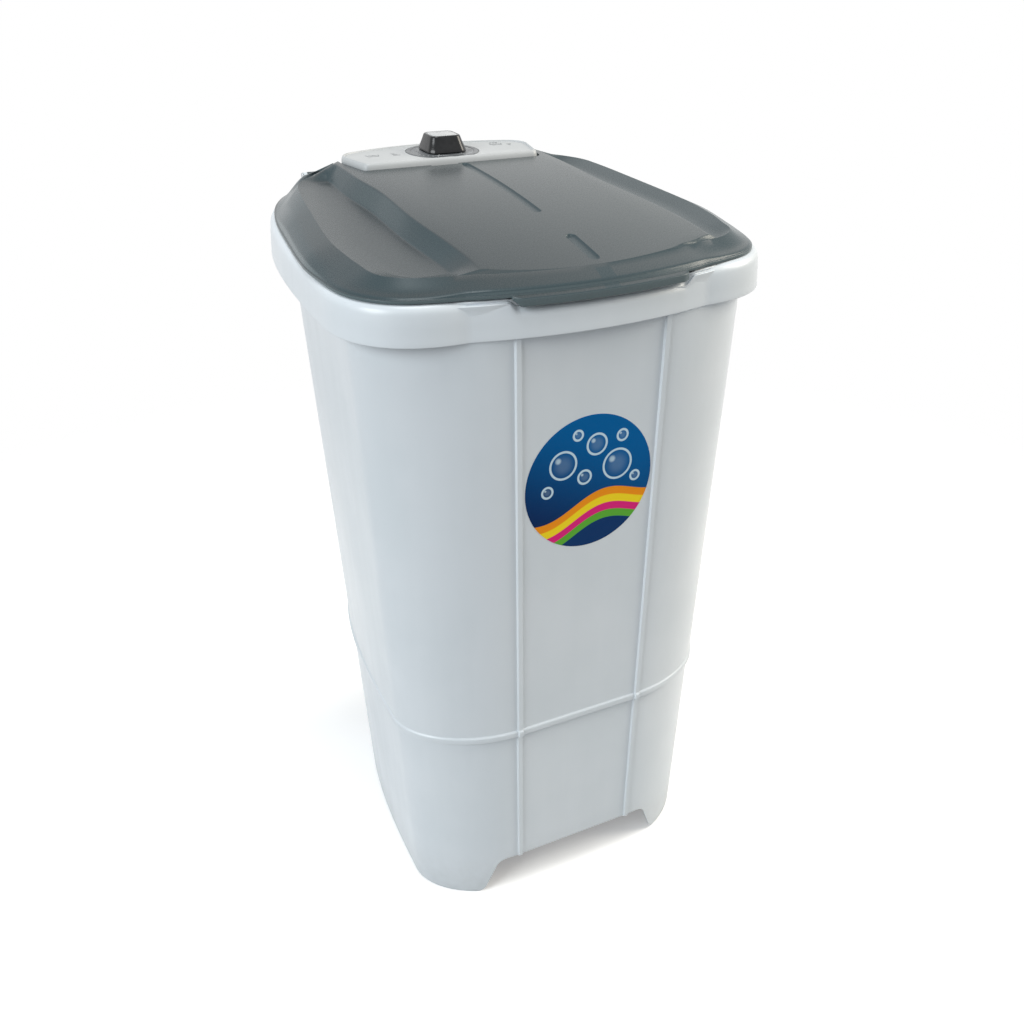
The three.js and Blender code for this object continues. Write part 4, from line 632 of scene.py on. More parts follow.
# Lid tones: its tint, painted shade for its left side, painted shade for steep faces, grooves and the
# recess, and a lighter painted tone for upright faces
LID_LIGHT, LID_SHADED_LEFT = tone(94, 100, 102), tone(60, 68, 71)
LID_PAINTED_SHADE, LID_UPRIGHT_PAINTED_LIGHT = tone(57, 72, 77), tone(88, 102, 106)
FILM_RADIUS, FILM_HEIGHT = 79.5, 634
BANDS = ((0.0, (246, 150, 30)), (0.12, (250, 222, 40)), (0.24, (226, 40, 128)), (0.36, (96, 176, 58)),
         (0.48, (8, 54, 106)))
BUBBLES = ((-0.42, 0.34, 0.2), (0.1, 0.56, 0.15), (0.44, 0.2, 0.22), (-0.08, 0.1, 0.1),
           (-0.66, -0.02, 0.08), (0.5, 0.62, 0.08), (-0.2, 0.74, 0.07), (0.74, -0.04, 0.07))
DRAWN, STACKED = (1.0, 1.0, 0.05), (0.05, 0.05, 1.0)
finishes = {
    "body_plastic": body_finish(),
    "panel_plastic": moulded("moulded_panel", (188, 191, 193), (182, 186, 188), 0.4, 0.14, 0.15),
    "smoky_plastic": smoky_finish(),
    "black_gloss": gloss_finish(),
    "silver_print": moulded("dial_print", (92, 96, 99), (80, 84, 88), 0.35, 0.1, 0.2, 60.0),
    # The pale tone for the knob's top face is a painted reflection
    "pale_print": moulded("knob_top_painted_reflection", (190, 192, 193), (176, 179, 181), 0.3, 0.1, 0.3, 60.0),
    "white_plastic": moulded("moulded_white", (232, 234, 232), (224, 227, 226), 0.42, 0.22, 0.2, 22.0),
    "dark_plastic": moulded("moulded_dark", (50, 52, 55), (42, 44, 47), 0.5, 0.35, 0.1, 30.0),
    "zinc_steel": metal("zinc_plate", (196, 200, 203), (172, 177, 182), 0.32, 90.0, 0.2),
    "bright_steel": metal("ground_steel", (214, 216, 218), (190, 193, 197), 0.2, 900.0, 0.25, DRAWN),
    "cast_alloy": metal("cast_alloy", (172, 174, 176), (146, 149, 152), 0.5, 520.0, 0.7),
    "lamination_steel": metal("stacked_steel", (104, 108, 113), (74, 78, 84), 0.48, 1400.0, 0.9, STACKED),
    "bronze": metal("sintered_bronze", (168, 134, 82), (138, 106, 60), 0.42, 1100.0, 0.5),
    "rubber": rubber_finish(),
}

# The pieces that keep their solids: materials, smooth faces and slightly rounded edges

EDGE_ROUND, EDGE_ANGLE = 0.35, radians(34)
slot_of = {part["node"]: part["material_slot"] for part in frame["record"]["subparts"]}
for node, seen in frame["nodes"].items():
    seen.data.materials.clear()
    seen.data.materials.append(finishes[slot_of[node]])
    own_normals = seen.data.attributes.get("custom_normal")
    if own_normals:
        seen.data.attributes.remove(own_normals)
    seen.data.shade_smooth()
    weld = seen.modifiers.new("weld", "WELD")
    weld.merge_threshold = 1e-6
    edges = seen.modifiers.new("edges", "BEVEL")
    edges.width, edges.segments = EDGE_ROUND * MM, 2
    edges.limit_method, edges.angle_limit = "ANGLE", EDGE_ANGLE
    seen.modifiers.new("flats", "WEIGHTED_NORMAL")


# Tub: the wall, the rolled rim and the floor in one skin, then what stands on it

FLOOR_LOW, FLOOR_THICK, FILLET = 305, 4, 26
FLOOR_TOP = FLOOR_LOW + FLOOR_THICK
LIP_LOW = SEAM - 4
SKIRT_TOP = LIP_LOW - CLEAR
BAND_OUT = 2.2
PAD_TOP, PAD_RADIUS, SHAFT_HOLE = FLOOR_TOP + 8, 58, 22.4
DRAIN_X, DRAIN_Y, DRAIN_HOLE, WIRE_HOLE = 146, 62, 11, 6
BOSS_RADIUS, BOSS_ROOT, BOSS_IN, BOSS_ROWS = 7, 1.5, 17, (-110, 120)
MOUNT_X, MOUNT_ROWS = 98, (105, 149)
SHELF_FRONT, SHELF_BELOW, SHELF_THICK, SHELF_SKIRT = 122, 20, 4, 14
HINGE_Y, HINGE_RISE, HINGE_X, HINGE_HOLE = 250, 20, 140.5, 2.8
EAR_RADIUS, EAR_HALF, EAR_APART = 4.4, 2.5, 9.8
HINGE_Z = rim_line(HINGE_Y) + HINGE_RISE


def tub():
    top = plan_at(BODY_TOP)
    rows = [
        (wall_ring(FLOOR_LOW, WALL + FILLET), 0),
        (wall_ring(FLOOR_LOW, WALL), 2),
        (wall_ring(LIP_LOW, WALL), 0.5),
        (wall_ring(LIP_LOW, -BAND_OUT, True), 1.2),
        (wall_ring(SEAM + 4, -BAND_OUT, True), 1.6),
        (wall_ring(SEAM + 6, 0, True), 1.5),
        (rim_ring(top, 0, 10, 1, True), 3),
        (rim_ring(top, -1, 4.5, 1), 1),
        (rim_ring(RIM, 8, 4.5, 1), 2),
        (rim_ring(RIM, 3.5, 9, 1), 3),
        (rim_ring(RIM, RIM_SKIN, RIM_BAND - 9), 3),
        (rim_ring(RIM, RIM_SKIN - RIM_FLARE, RIM_BAND), 0.6),
        (rim_ring(RIM, -RIM_FLARE, RIM_BAND), 0.9),
        (rim_ring(RIM, 0, RIM_BAND - 9), 4),
        (rim_ring(RIM, 1, 17, 0.2), 4),
        (rim_ring(RIM, 2.6, 6, 1), 4),
        (rim_ring(RIM, 6, 1.5, 1), 3.4),
        (rim_ring(RIM, 11, 0, 1), 3),
        (rim_ring(top, 1, 1.5), 2),
        (rim_ring(top, WALL, 6), 4),
        (wall_ring(FLOOR_TOP + FILLET, WALL), 14),
        (wall_ring(FLOOR_TOP + FILLET / 3, WALL + FILLET / 5), 9),
        (wall_ring(FLOOR_TOP, WALL + FILLET), 0),
    ]
    return loft("tub_shell", round_rows(rows))


def rear_strip(thick):
    """The tub's outline behind the shelf's front edge, as a slab below the rim."""
    ring = [(x, y) for x, y in plan_ring(plan_at(BODY_TOP), 2.5) if y > SHELF_FRONT]
    right = [p for p in ring if p[0] >= 0]
    left = [p for p in ring if p[0] < 0]
    outline = [(right[0][0], SHELF_FRONT)] + right + left + [(left[-1][0], SHELF_FRONT)]
    low = lifted(outline, lambda x, y: rim_line(y) - SHELF_BELOW - thick)
    high = lifted(outline, lambda x, y: rim_line(y) - SHELF_BELOW)
    return loft("strip", [low, high])


def inside_width(height, y, inset=0):
    return crossing(half_path(plan_at(height))[FRONT_STEPS + 1:], 1, y) - inset


FILTER_Y, FILTER_WIDTH, FILTER_HEIGHT, FILTER_THICK, FILTER_LOW = 20, 98, 150, 4, 474
FILTER_X = inside_width(FILTER_LOW, FILTER_Y, WALL) - 9
RAIL_HIGH, RAIL_HALF, RAIL_WALL = 650, 5, 4


def filter_rails():
    outer = inside_width(RAIL_HIGH, FILTER_Y, WALL) + 1.5
    back = FILTER_X - FILTER_THICK - CLEAR
    rails = []
    for side in (-1, 1):
        edge = FILTER_Y + side * (FILTER_WIDTH / 2 + CLEAR)
        near = edge - side * RAIL_HALF
        sides = sorted((near, edge + side * RAIL_HALF))
        rail = block(back - RAIL_WALL, outer, *sides, FILTER_LOW - 6, RAIL_HIGH, 1.2)
        ends = sorted((near - side * OVERCUT, edge))
        slot = block(back, FILTER_X + CLEAR, *ends, FILTER_LOW - CLEAR, RAIL_HIGH + OVERCUT)
        rails.append(cut(rail, [slot]))
    return rails


def lying_rod(radius, x0, x1, y, z, sides=48):
    return turned(rod(radius, x0, x1, sides), 90, "Y", 0, y, z)


def rearward_rod(radius, y0, y1, x, z, sides=48):
    return turned(rod(radius, y0, y1, sides), -90, "X", x, 0, z)


def tub_extras():
    made = filter_rails()
    for side in (-1, 1):
        for end in (-1, 1):
            middle = side * HINGE_X + end * EAR_APART
            across = (middle - EAR_HALF, middle + EAR_HALF)
            low = rim_line(HINGE_Y) - 2.5
            made.append(block(*across, HINGE_Y - EAR_RADIUS, HINGE_Y + EAR_RADIUS, low, HINGE_Z))
            made.append(lying_rod(EAR_RADIUS, *across, HINGE_Y, HINGE_Z))
    root = FLOOR_LOW + BOSS_ROOT
    made.append(rod(PAD_RADIUS, root, PAD_TOP, 96, (0, AGITATOR_Y), 2.5))
    for side in (-1, 1):
        for y in BOSS_ROWS:
            x = side * (inside_width(SKIRT_TOP, y) - BOSS_IN)
            made.append(rod(BOSS_RADIUS, SKIRT_TOP + CLEAR, root, 32, (x, y)))
        for y in MOUNT_ROWS:
            made.append(rod(BOSS_RADIUS, FLOOR_LOW - 12, root, 32, (side * MOUNT_X, y)))
    made.append(rear_strip(SHELF_THICK))
    behind = block(-OUTSIDE, OUTSIDE, SHELF_FRONT + SHELF_THICK, OUTSIDE, 0, 2000)
    made.append(cut(rear_strip(SHELF_SKIRT), [behind]))
    return made


def tub_holes():
    low, back = FLOOR_LOW - OVERCUT, TOP["back"]
    return [
        rod(SHAFT_HOLE, low, PAD_TOP + OVERCUT, 64, (0, AGITATOR_Y)),
        rod(DRAIN_HOLE, low, FLOOR_TOP + OVERCUT, 48, (DRAIN_X, DRAIN_Y)),
        lying_rod(HINGE_HOLE, -250, 250, HINGE_Y, HINGE_Z, 32),
        rearward_rod(WIRE_HOLE, back - WALL - OVERCUT, back + WALL, 0, rim_line(back) - 9, 32),
    ]


shell = cut(joined(tub(), tub_extras()), tub_holes())
done(shell, "tub_moulding", "body_plastic", "cabinet", ["tub_body"], 34)


# Base skirt

ARCH_FOOT, ARCH_SHOULDER, ARCH_HEIGHT, ARCH_LONG = 147, 118, 64, 128.5
SKIRT_IN, SKIRT_SHELF = 6, 28
POST_RADIUS, POST_LOW, POST_HIGH, POST_IN, POST_ROWS = 8, 69.3, 93.3, 12, (-105, 105)
HOSE_HOLE, CORD_HOLE, LOW_WIRE_HOLE = (14.3, 146, 262, 64), (9.3, -70, 150, 48), (WIRE_HOLE, 0, 271, 32)


def arch_cutter(y0, y1):
    half = [(-ARCH_FOOT, -6), (-ARCH_FOOT, 0), (-ARCH_FOOT + 7, 7), (-ARCH_SHOULDER, ARCH_HEIGHT)]
    outline = half + [(-x, z) for x, z in reversed(half)]
    outline = round_outline(outline, [0, 6, 6, 15, 15, 6, 6, 0], 10)
    return loft("arch", [[Vector((x, y, z)) for x, z in outline] for y in (y0, y1)])


def skirt():
    rows = [
        (wall_ring(0, 3.5, True), 1.2),
        (wall_ring(5, 2, True), 4),
        (wall_ring(SKIRT_TOP, 2, True), 1),
        (wall_ring(SKIRT_TOP, SKIRT_SHELF), 0.6),
        (wall_ring(SKIRT_TOP - 4, SKIRT_SHELF), 0.6),
        (wall_ring(SKIRT_TOP - 4, SKIRT_IN), 3),
        (wall_ring(0, SKIRT_IN), 0.8),
    ]
    piece = loft("skirt_shell", round_rows(rows, 4, True), True)
    posts = []
    for side in (-1, 1):
        for y in POST_ROWS:
            x = side * (inside_width(66, y) - POST_IN)
            posts.append(rod(POST_RADIUS, POST_LOW, POST_HIGH, 32, (x, y)))
    joined(piece, posts)
    tools = [arch_cutter(-2 * ARCH_LONG, -ARCH_LONG), arch_cutter(ARCH_LONG, 2 * ARCH_LONG)]
    for radius, x, z, sides in (HOSE_HOLE, CORD_HOLE, LOW_WIRE_HOLE):
        tools.append(rearward_rod(radius, 0, OUTSIDE, x, z, sides))
    return cut(piece, tools)


done(skirt(), "skirt_moulding", "body_plastic", "cabinet", ["base_skirt"], 34)


# Lid: border, ridge, two side recesses, raised middle, cut-out for the panel, handle lip

LID_SKIN, LID_ABOVE = 3, 970
# Two rings of the border: inset, height, share of the ridge's height, and its ease at the corners
BORDER = [(5, 3, 0.3, 0.16, 0.27), (13, 1, 0.64, 0.2, 0.4)]
RECESS_DEPTH, RECESS_RUN = 5, 24
CROWN_COLUMNS = [112, 96, 80, 64, 50, 38, 28, 22, 18, 12, 6, 2]
CROWN_COLUMNS += [-4, -12, -24, -38, -54, -70, -84, -96]


def front_corner(x, y):
    return smooth((abs(x) - 110) / 70) * smooth((-70 - y) / 90)


def rear_corner(x, y):
    return smooth((abs(x) - 150) / 35) * smooth((y - 30) / 140)


def side_ease(x, y):
    """How much further in the lid lies beside the hinges and at the front right."""
    rear = 6.5 * smooth((abs(x) - 150) / 60) * smooth((y + 110) / 170)
    return rear + 3 * smooth((x - 120) / 60) * smooth((-120 - y) / 60)


def crown_at(y):
    return CROWN_HIGH - CROWN_FALL * min(1, max(0, (CROWN_BACK - y) / CROWN_LONG))**CROWN_POWER


def ridge_at(x, y):
    rear = 0.5 + 2.5 * smooth((60 - x) / 120)
    return min(38, 15.5 + 0.0545 * (y + 228)) - rear * smooth((y - 140) / 65)


def ridge_inset(y):
    return 27 + 6 * smooth((y + 215) / 60) + 24 * smooth((y - 130) / 90)


def recess_share(side, y):
    front = smooth((y + 216) / 28)
    return (front if side > 0 else 1) * smooth((172 - y) / 22), front


def crown_edges(side, y):
    """Where the raised middle ends on one side, and the foot of its slope."""
    back = 30 * smooth((y - 160) / 50)
    if side > 0:
        edge = CROWN_EDGE + CROWN_SPREAD * smooth((SPREAD_BACK - y) / SPREAD_LONG) - back
        return edge, edge + 12
    edge = CROWN_EDGE + 6 * smooth(y / 90) - 19.5 * smooth((-50 - y) / 170) - back
    return edge, 139 + 8 * smooth(y / 110) - 5 * smooth((-60 - y) / 140) - back


def lid_ring(inset_of, height_of):
    ring = []
    for x, y, nx, ny in plan_stations(RIM):
        inset = inset_of(y) if callable(inset_of) else inset_of
        inset = inset + 5 * front_corner(x, y) + side_ease(x, y)
        px, py = x - nx * inset, y - ny * inset
        ring.append(Vector((px, py, rim_line(py) + height_of(px, py))))
    return ring


def border_ring(band, grow):
    inset, base, share, front_ease, rear_ease = BORDER[band]

    def height(x, y):
        eased = share - front_ease * front_corner(x, y) - rear_ease * rear_corner(x, y)
        return base + eased * ridge_at(x, y) - grow

    return lid_ring(inset + grow * 0.9, height)


def lid_dome(grow, low):
    """The lid as a solid, grow inside its outer face and flat below."""
    rows = [(lid_ring(2 + grow, lambda x, y: low), 0)]
    if grow:
        rows.append((lid_ring(2 + grow, lambda x, y: 3.5 - grow * 0.8), 2))
    else:
        rows += [(lid_ring(2, lambda x, y: 3.2), 0.9), (lid_ring(3.4, lambda x, y: 3.6), 0.5)]
    rows += [(border_ring(0, grow), 5 if grow else 3), (border_ring(1, grow), 9)]
    ridge = lid_ring(lambda y: ridge_inset(y) + grow * 0.5, lambda x, y: ridge_at(x, y) - grow)
    rings = round_rows(rows + [(ridge, 0)], 5)
    count = len(rings[0])
    points = [point for ring in rings for point in ring]
    faces = []
    for i in range(len(rings) - 1):
        faces += faces_between(i * count, (i + 1) * count, count)
    start = (len(rings) - 1) * count
    half = count // 2
    before = [start]
    for i in range(1, half):
        row = lid_row(points[start + i], points[start + count - i], grow)
        first = len(points)
        points += row
        line = [start + i] + list(range(first, first + len(row))) + [start + count - i]
        join_rows(faces, before, line)
        before = line
    join_rows(faces, before, [start + half])
    faces.append(tuple(range(count - 1, -1, -1)))
    return new_piece("dome", points, faces)


def lid_row(right, left, grow):
    """Points across the lid from ridge to ridge, with every corner of the section rounded."""
    y = right.y
    top = crown_at(y)
    halves = []
    for side, end in ((1, right), (-1, left)):
        reach, edge = abs(end.x), ridge_at(end.x, y)
        a, foot = (value - grow * 0.3 for value in crown_edges(side, y))
        run = min(RECESS_RUN, max(4, (reach - foot) * 0.5))
        fit = min(1, reach / (foot + run + 2))
        dip, front = recess_share(side, y)
        floor = min(edge, top) - RECESS_DEPTH * front
        section = [(a * fit, top)]
        for x in (foot * fit, reach - run * fit):
            slope = top + (edge - top) * min(1, max(0, (x - a * fit) / (reach - a * fit)))
            section.append((x, slope + (floor - slope) * dip))
        half = [(x * fit, top) for x in CROWN_COLUMNS if side * x > 0]
        half += [(side * x, z) for x, z in section]
        halves += sorted(half, key=lambda point: -point[0])
    section = [(right.x, ridge_at(right.x, y))] + halves + [(left.x, ridge_at(left.x, y))]
    columns = [Vector((x, y, rim_line(y) + z - grow)) for x, z in section]
    radii = [0, 7, 2.5, 2] + [0] * len(CROWN_COLUMNS) + [2, 2.5, 7, 0]
    return round_line(columns, radii, 4, False)[1:-1]


def join_rows(faces, front, back):
    """Faces between two rows of points, where either row may be a single point."""
    if len(front) == 1 or len(back) == 1:
        row, tip = (back, front[0]) if len(front) == 1 else (front, back[0])
        for a, b in zip(row, row[1:]):
            faces.append((tip, a, b) if len(front) == 1 else (b, a, tip))
        return
    for k in range(len(front) - 1):
        faces.append((front[k + 1], front[k], back[k], back[k + 1]))


PANEL = dict(front=113.5, front_half=113, side=165, side_half=124, rear=191, rear_half=107,
             back=210.5, top=907)
PANEL_CORNER, PANEL_SLOPE = 7, 0.013
PANEL_MIDDLE = (PANEL["front"] + PANEL["back"]) / 2


def panel_top(y):
    return PANEL["top"] + PANEL_SLOPE * (y - PANEL["front"])


def curve_points(start, corner, end, steps=10):
    shares = [i / steps for i in range(1, steps + 1)]
    return [tuple(bend(*values, share) for values in zip(start, corner, end)) for share in shares]


def panel_outline():
    p, c = PANEL, PANEL_CORNER
    half = [(0, p["front"]), (p["front_half"] / 2, p["front"]), (p["front_half"] - c, p["front"])]
    half += curve_points(half[-1], (p["front_half"], p["front"]), (p["front_half"] + 1.5, p["front"] + c))
    half += [(p["side_half"], p["side"])]
    half += curve_points(half[-1], (p["side_half"], p["rear"] - c), (p["rear_half"], p["rear"]))
    half += curve_points(half[-1], (p["rear_half"] / 2, p["back"]), (0, p["back"]))
    return half + [(-x, y) for x, y in half[-2:0:-1]]


def panel_ring(inset, height):
    share_x = 1 - inset / PANEL["side_half"]
    share_y = 1 - inset / (PANEL["back"] - PANEL_MIDDLE)
    ring = [(x * share_x, PANEL_MIDDLE + (y - PANEL_MIDDLE) * share_y) for x, y in panel_outline()]
    return lifted(ring, height)


LIP_LEFT, LIP_RIGHT, LIP_STEPS, LIP_END = -94, 106, 60, 7


def handle_lip():
    sections = []
    base = rim_line(-RIM["front"])
    for i in range(LIP_STEPS + 1):
        x = LIP_LEFT + (LIP_RIGHT - LIP_LEFT) * i / LIP_STEPS
        rim = -RIM["front"] + RIM["bow"] * (x / RIM["flat"])**2
        end = smooth(min(x - LIP_LEFT, LIP_RIGHT - x) / LIP_END)
        front = rim - 1 - 2.8 * end
        low = 1.3 - dip_at(x, -RIM["front"])
        outline = [
            (rim + 14, 7.4), (rim + 8, 5), (rim + 3.4, 3.2 - 0.4 * end), (front + 2.2, 2.2 - 0.8 * end),
            (front, 0.2 + 0.4 * end), (front, low + 0.9), (front + 1.4, low), (rim + 3, low),
            (rim + 4.4, low + 0.9), (rim + 5, 0.4), (rim + 14, 1.6),
        ]
        sections.append([Vector((x, y, base + z)) for y, z in round_outline(outline, 0.9, 3)])
    return loft("lip", sections)


GROOVES = [(9, 10.5, -98, 108, 2), (12, 12.5, -221, -160, 2)]
GROOVE_ENDS, GROOVE_STEPS, GROOVE_ACROSS, GROOVE_LIFT = 8, 30, 16, 0.1


def groove(x, width, y0, y1, depth):
    """A round-ended channel pressed into the crown."""
    half = width / 2
    ends = [half * (1 - cos(pi / 2 * i / GROOVE_ENDS)) for i in range(1, GROOVE_ENDS + 1)]
    straight = [y0 + half + (y1 - y0 - width) * i / GROOVE_STEPS for i in range(1, GROOVE_STEPS)]
    sections = []
    for y in [y0 + run for run in ends] + straight + [y1 - run for run in reversed(ends)]:
        past = max(0, y0 + half - y, y - y1 + half)
        reach = sqrt(half**2 - past**2)
        deep = depth * min(1, reach / half * 1.4) + GROOVE_LIFT
        height = rim_line(y) + crown_at(y)
        section = [Vector((x + side * reach, y, height + OVERCUT)) for side in (1, -1)]
        for k in range(GROOVE_ACROSS + 1):
            across = 2 * k / GROOVE_ACROSS - 1
            below = height + GROOVE_LIFT - deep * (1 - across**4)
            section.append(Vector((x + reach * across, y, below)))
        sections.append(section)
    return loft("groove", sections)


NOTCH_X, NOTCH_HALF, NOTCH_DEPTH = -14, 18, 7
KNUCKLE_RADIUS, KNUCKLE_HALF = 4.6, 7
LID_BACK, PANEL_GAP, SURROUND_OUT, SURROUND_LOW = HINGE_Y - 6.5, 3, 6, 880


def lid():
    def panel_cut(inset, grow, low):
        """Room for the panel, with a finger notch in front of it."""
        front = prism([(p.x, p.y) for p in panel_ring(-inset, 0)], low, LID_ABOVE)
        half = PANEL["side_half"] + inset
        room = joined(front, [block(-half, half, PANEL["side"] - inset, OUTSIDE, low, LID_ABOVE)])
        half, start = NOTCH_HALF + grow, PANEL["front"] - NOTCH_DEPTH - grow
        return joined(room, [block(NOTCH_X - half, NOTCH_X + half, start, PANEL["side"], low, LID_ABOVE)])

    opening, surround = panel_cut(PANEL_GAP, 0, 0), panel_cut(SURROUND_OUT, LID_SKIN, SURROUND_LOW)
    rear_wall = block(-OUTSIDE, OUTSIDE, LID_BACK - LID_SKIN, LID_BACK, 0, LID_ABOVE)
    hollow = cut(lid_dome(LID_SKIN, -6), [surround, rear_wall])
    behind = block(-OUTSIDE, OUTSIDE, LID_BACK, OUTSIDE, 0, LID_ABOVE)
    body = cut(lid_dome(0, 0.5), [hollow, opening, behind])
    cut(body, [groove(*place) for place in GROOVES])
    knuckles = []
    for side in (-1, 1):
        across = (side * HINGE_X - KNUCKLE_HALF, side * HINGE_X + KNUCKLE_HALF)
        knuckles.append(block(*across, LID_BACK - 1.5, HINGE_Y, HINGE_Z - 4, HINGE_Z + 2.5))
        knuckles.append(lying_rod(KNUCKLE_RADIUS, *across, HINGE_Y, HINGE_Z))
    joined(body, [handle_lip()] + knuckles)
    return cut(body, [lying_rod(HINGE_HOLE, -250, 250, HINGE_Y, HINGE_Z, 32)])


done(lid(), "lid_moulding", "smoky_plastic", "lid", ["lid"], 30)


# Control panel with its raised edge and sunken field


def shelf_top(y):
    return rim_line(y) - SHELF_BELOW


DIAL_X, DIAL_Y, FIELD_SINK = 4, PANEL_MIDDLE, 1.6
DIAL_OUTER, DIAL_INNER, DIAL_TOP, DIAL_LOW, DIAL_HEIGHT = 45.6, 20, 44.4, -1.1, 0.6
PANEL_POST_X, PANEL_POST_Y = 92, 146


def on_panel(piece, x=DIAL_X, y=DIAL_Y):
    slope = degrees(atan(PANEL_SLOPE))
    return turned(piece, slope, "X", x, y, panel_top(y) - FIELD_SINK)


def panel():
    def under(inset, below):
        return panel_ring(inset, lambda x, y: panel_top(y) - below)

    def foot(inset):
        return panel_ring(inset, lambda x, y: shelf_top(y) + CLEAR)

    rows = [
        (under(7, 4.6), 0), (under(3, 9), 2), (foot(1.5), 0.4), (foot(-1.5), 0.6),
        (under(-0.4, 8), 3), (under(0.3, 2.4), 3), (under(2.2, 0), 2.4), (under(3.4, 0), 0.6),
        (under(4, FIELD_SINK), 0.5), (under(5, FIELD_SINK), 0),
    ]
    piece = loft("panel_shell", round_rows(rows))
    posts = []
    for x in (-PANEL_POST_X, PANEL_POST_X):
        y = PANEL_POST_Y
        posts.append(rod(6, shelf_top(y) + CLEAR, panel_top(y) - 3, 32, (x, y)))
    seat = rod(DIAL_OUTER + 0.6, DIAL_LOW - CLEAR, 5, 128, (0, 0), 0.4)
    return cut(joined(piece, posts), [on_panel(seat)])


done(panel(), "panel_moulding", "panel_plastic", "cabinet", ["control_panel"], 34)


# Timer knob and dial

KNOB_LOW = DIAL_HEIGHT + CLEAR
TRACK_SINK, FIGURE_RADIUS, FIGURE_SIZE = 0.6, 29.2, 4
DIAL_START, KNOB_TURN = 240, 300
PRINT_THICK, PRINT_LIFT, PRINT_STEPS, WAVE_STEPS = 0.12, 0.03, 40, 24


def knob():
    """The knob, and the pale face let into its top, whose pale colour is a painted reflection."""
    def ring(half, depth, corner, above, edge=3.2):
        x, y = half - corner, depth - corner
        right = [(x, -depth), (half, -y), (half, y), (x, depth)]
        return lifted(round_outline(right + [(-x, y) for x, y in right[::-1]], edge), KNOB_LOW + above)

    rows = [
        (ring(24.4, 25, 7, 0), 0.4), (ring(25, 25.6, 7, 0.8), 0.6), (ring(24.6, 25.2, 7, 3.4), 1.6),
        (ring(21.6, 21, 5.6, 11), 6), (ring(19.4, 18.4, 5, 17.8), 1.2),
        (ring(18.2, 17.2, 4.6, 18.6), 0.8), (ring(16.6, 15.6, 4.2, 18.3), 0),
    ]
    piece = loft("knob", round_rows(rows))
    rows = [(ring(16.2, 15.2, 4, 18), 0), (ring(16.2, 15.2, 4, 18.4), 0.2), (ring(15.6, 14.6, 3.8, 18.6), 0)]
    face = loft("knob_face", round_rows(rows, 3))
    return cut(piece, [rod(3.3, -4, KNOB_LOW + 12, 32)]), face


def dial():
    track = DIAL_HEIGHT - TRACK_SINK
    profile = [
        (DIAL_INNER, DIAL_LOW), (DIAL_OUTER, DIAL_LOW), (DIAL_OUTER, -0.2), (DIAL_TOP, DIAL_HEIGHT),
        (39.6, DIAL_HEIGHT), (39.2, track), (32.2, track), (31.8, DIAL_HEIGHT), (DIAL_INNER, DIAL_HEIGHT),
    ]
    return revolve(profile, 128, (0, 0), 0.3, 2)


def dial_marks():
    """Strokes every 10 degrees over the turn of the knob."""
    marks = []
    for i in range(KNOB_TURN // 10 + 1):
        inner = 35.4 if i % 6 else 32.8
        outline = [(-0.45, inner), (0.45, inner), (0.6, 38.6), (-0.6, 38.6)]
        stroke = prism(outline, DIAL_HEIGHT - 0.62, DIAL_HEIGHT - 0.48)
        marks.append(turned(stroke, DIAL_START - 10 * i - 90, "Z"))
    return marks


def written(text, size, x, y, height, turn):
    letters = bpy.data.curves.new("figures", "FONT")
    letters.body, letters.size, letters.extrude = text, size * MM, 0.06 * MM
    letters.align_x, letters.align_y = "CENTER", "CENTER"
    shown = placed("figures", letters)
    mesh = seen_mesh(shown)
    bpy.data.objects.remove(shown)
    mesh.transform(place_at(x, y + SHIFT, height, turn, "Z"))
    return placed("figures", mesh)


def dial_figures():
    figures = []
    for i in range(KNOB_TURN // 60 + 1):
        angle = DIAL_START - 60 * i
        turn = radians(angle)
        x, y = FIGURE_RADIUS * cos(turn), FIGURE_RADIUS * sin(turn)
        figures.append(written(str(3 * i), FIGURE_SIZE, x, y, DIAL_HEIGHT + 0.05, angle - 90))
    return figures


def gathered(name, pieces):
    """Loose bits made into one piece."""
    shape = bmesh.new()
    for piece in pieces:
        shape.from_mesh(piece.data)
        bpy.data.objects.remove(piece)
    mesh = bpy.data.meshes.new(name)
    shape.to_mesh(mesh)
    shape.free()
    return placed(name, mesh)


def stroke_line(points, width):
    """A printed line of even width through points, with square ends."""
    sides = [[], []]
    for i, (x, y) in enumerate(points):
        (x0, y0), (x1, y1) = points[max(0, i - 1)], points[min(len(points) - 1, i + 1)]
        length = hypot(x1 - x0, y1 - y0)
        nx, ny = (y0 - y1) / length * width / 2, (x1 - x0) / length * width / 2
        sides[0].append((x - nx, y - ny))
        sides[1].append((x + nx, y + ny))
    return prism(sides[0] + sides[1][::-1], PRINT_LIFT, PRINT_LIFT + PRINT_THICK)


def circle_line(x, y, radius, width):
    turns = [2 * pi * i / PRINT_STEPS for i in range(PRINT_STEPS + 1)]
    return stroke_line([(x + radius * cos(t), y + radius * sin(t)) for t in turns], width)


def panel_marks():
    """Small plain signs: basins with a wave on both sides, drops over the right one, and strokes."""
    signs = []
    shares = [i / WAVE_STEPS for i in range(WAVE_STEPS + 1)]
    wave = [(14 * share - 7, 1.2 * sin(share * 4 * pi)) for share in shares]
    basin = [(-8, 4), (-6, -5), (6, -5), (8, 4)]
    for x, y in ((-86, 3), (84, 14)):
        signs.append(stroke_line([(x + px, y + py) for px, py in basin], 0.9))
        signs.append(stroke_line([(x + px * 0.7, y + py * 0.8 + 1) for px, py in wave], 0.8))
    for dx in (-4, 0, 4):
        signs.append(circle_line(84 + dx, 23, 1.2, 0.7))
    for i in range(3):
        signs.append(stroke_line([(-62, 6 - 5 * i), (-57 + 2 * i, 6 - 5 * i)], 0.9))
        signs.append(stroke_line([(97, 10 - 4 * i), (103 - 2 * i, 10 - 4 * i)], 0.9))
    return signs


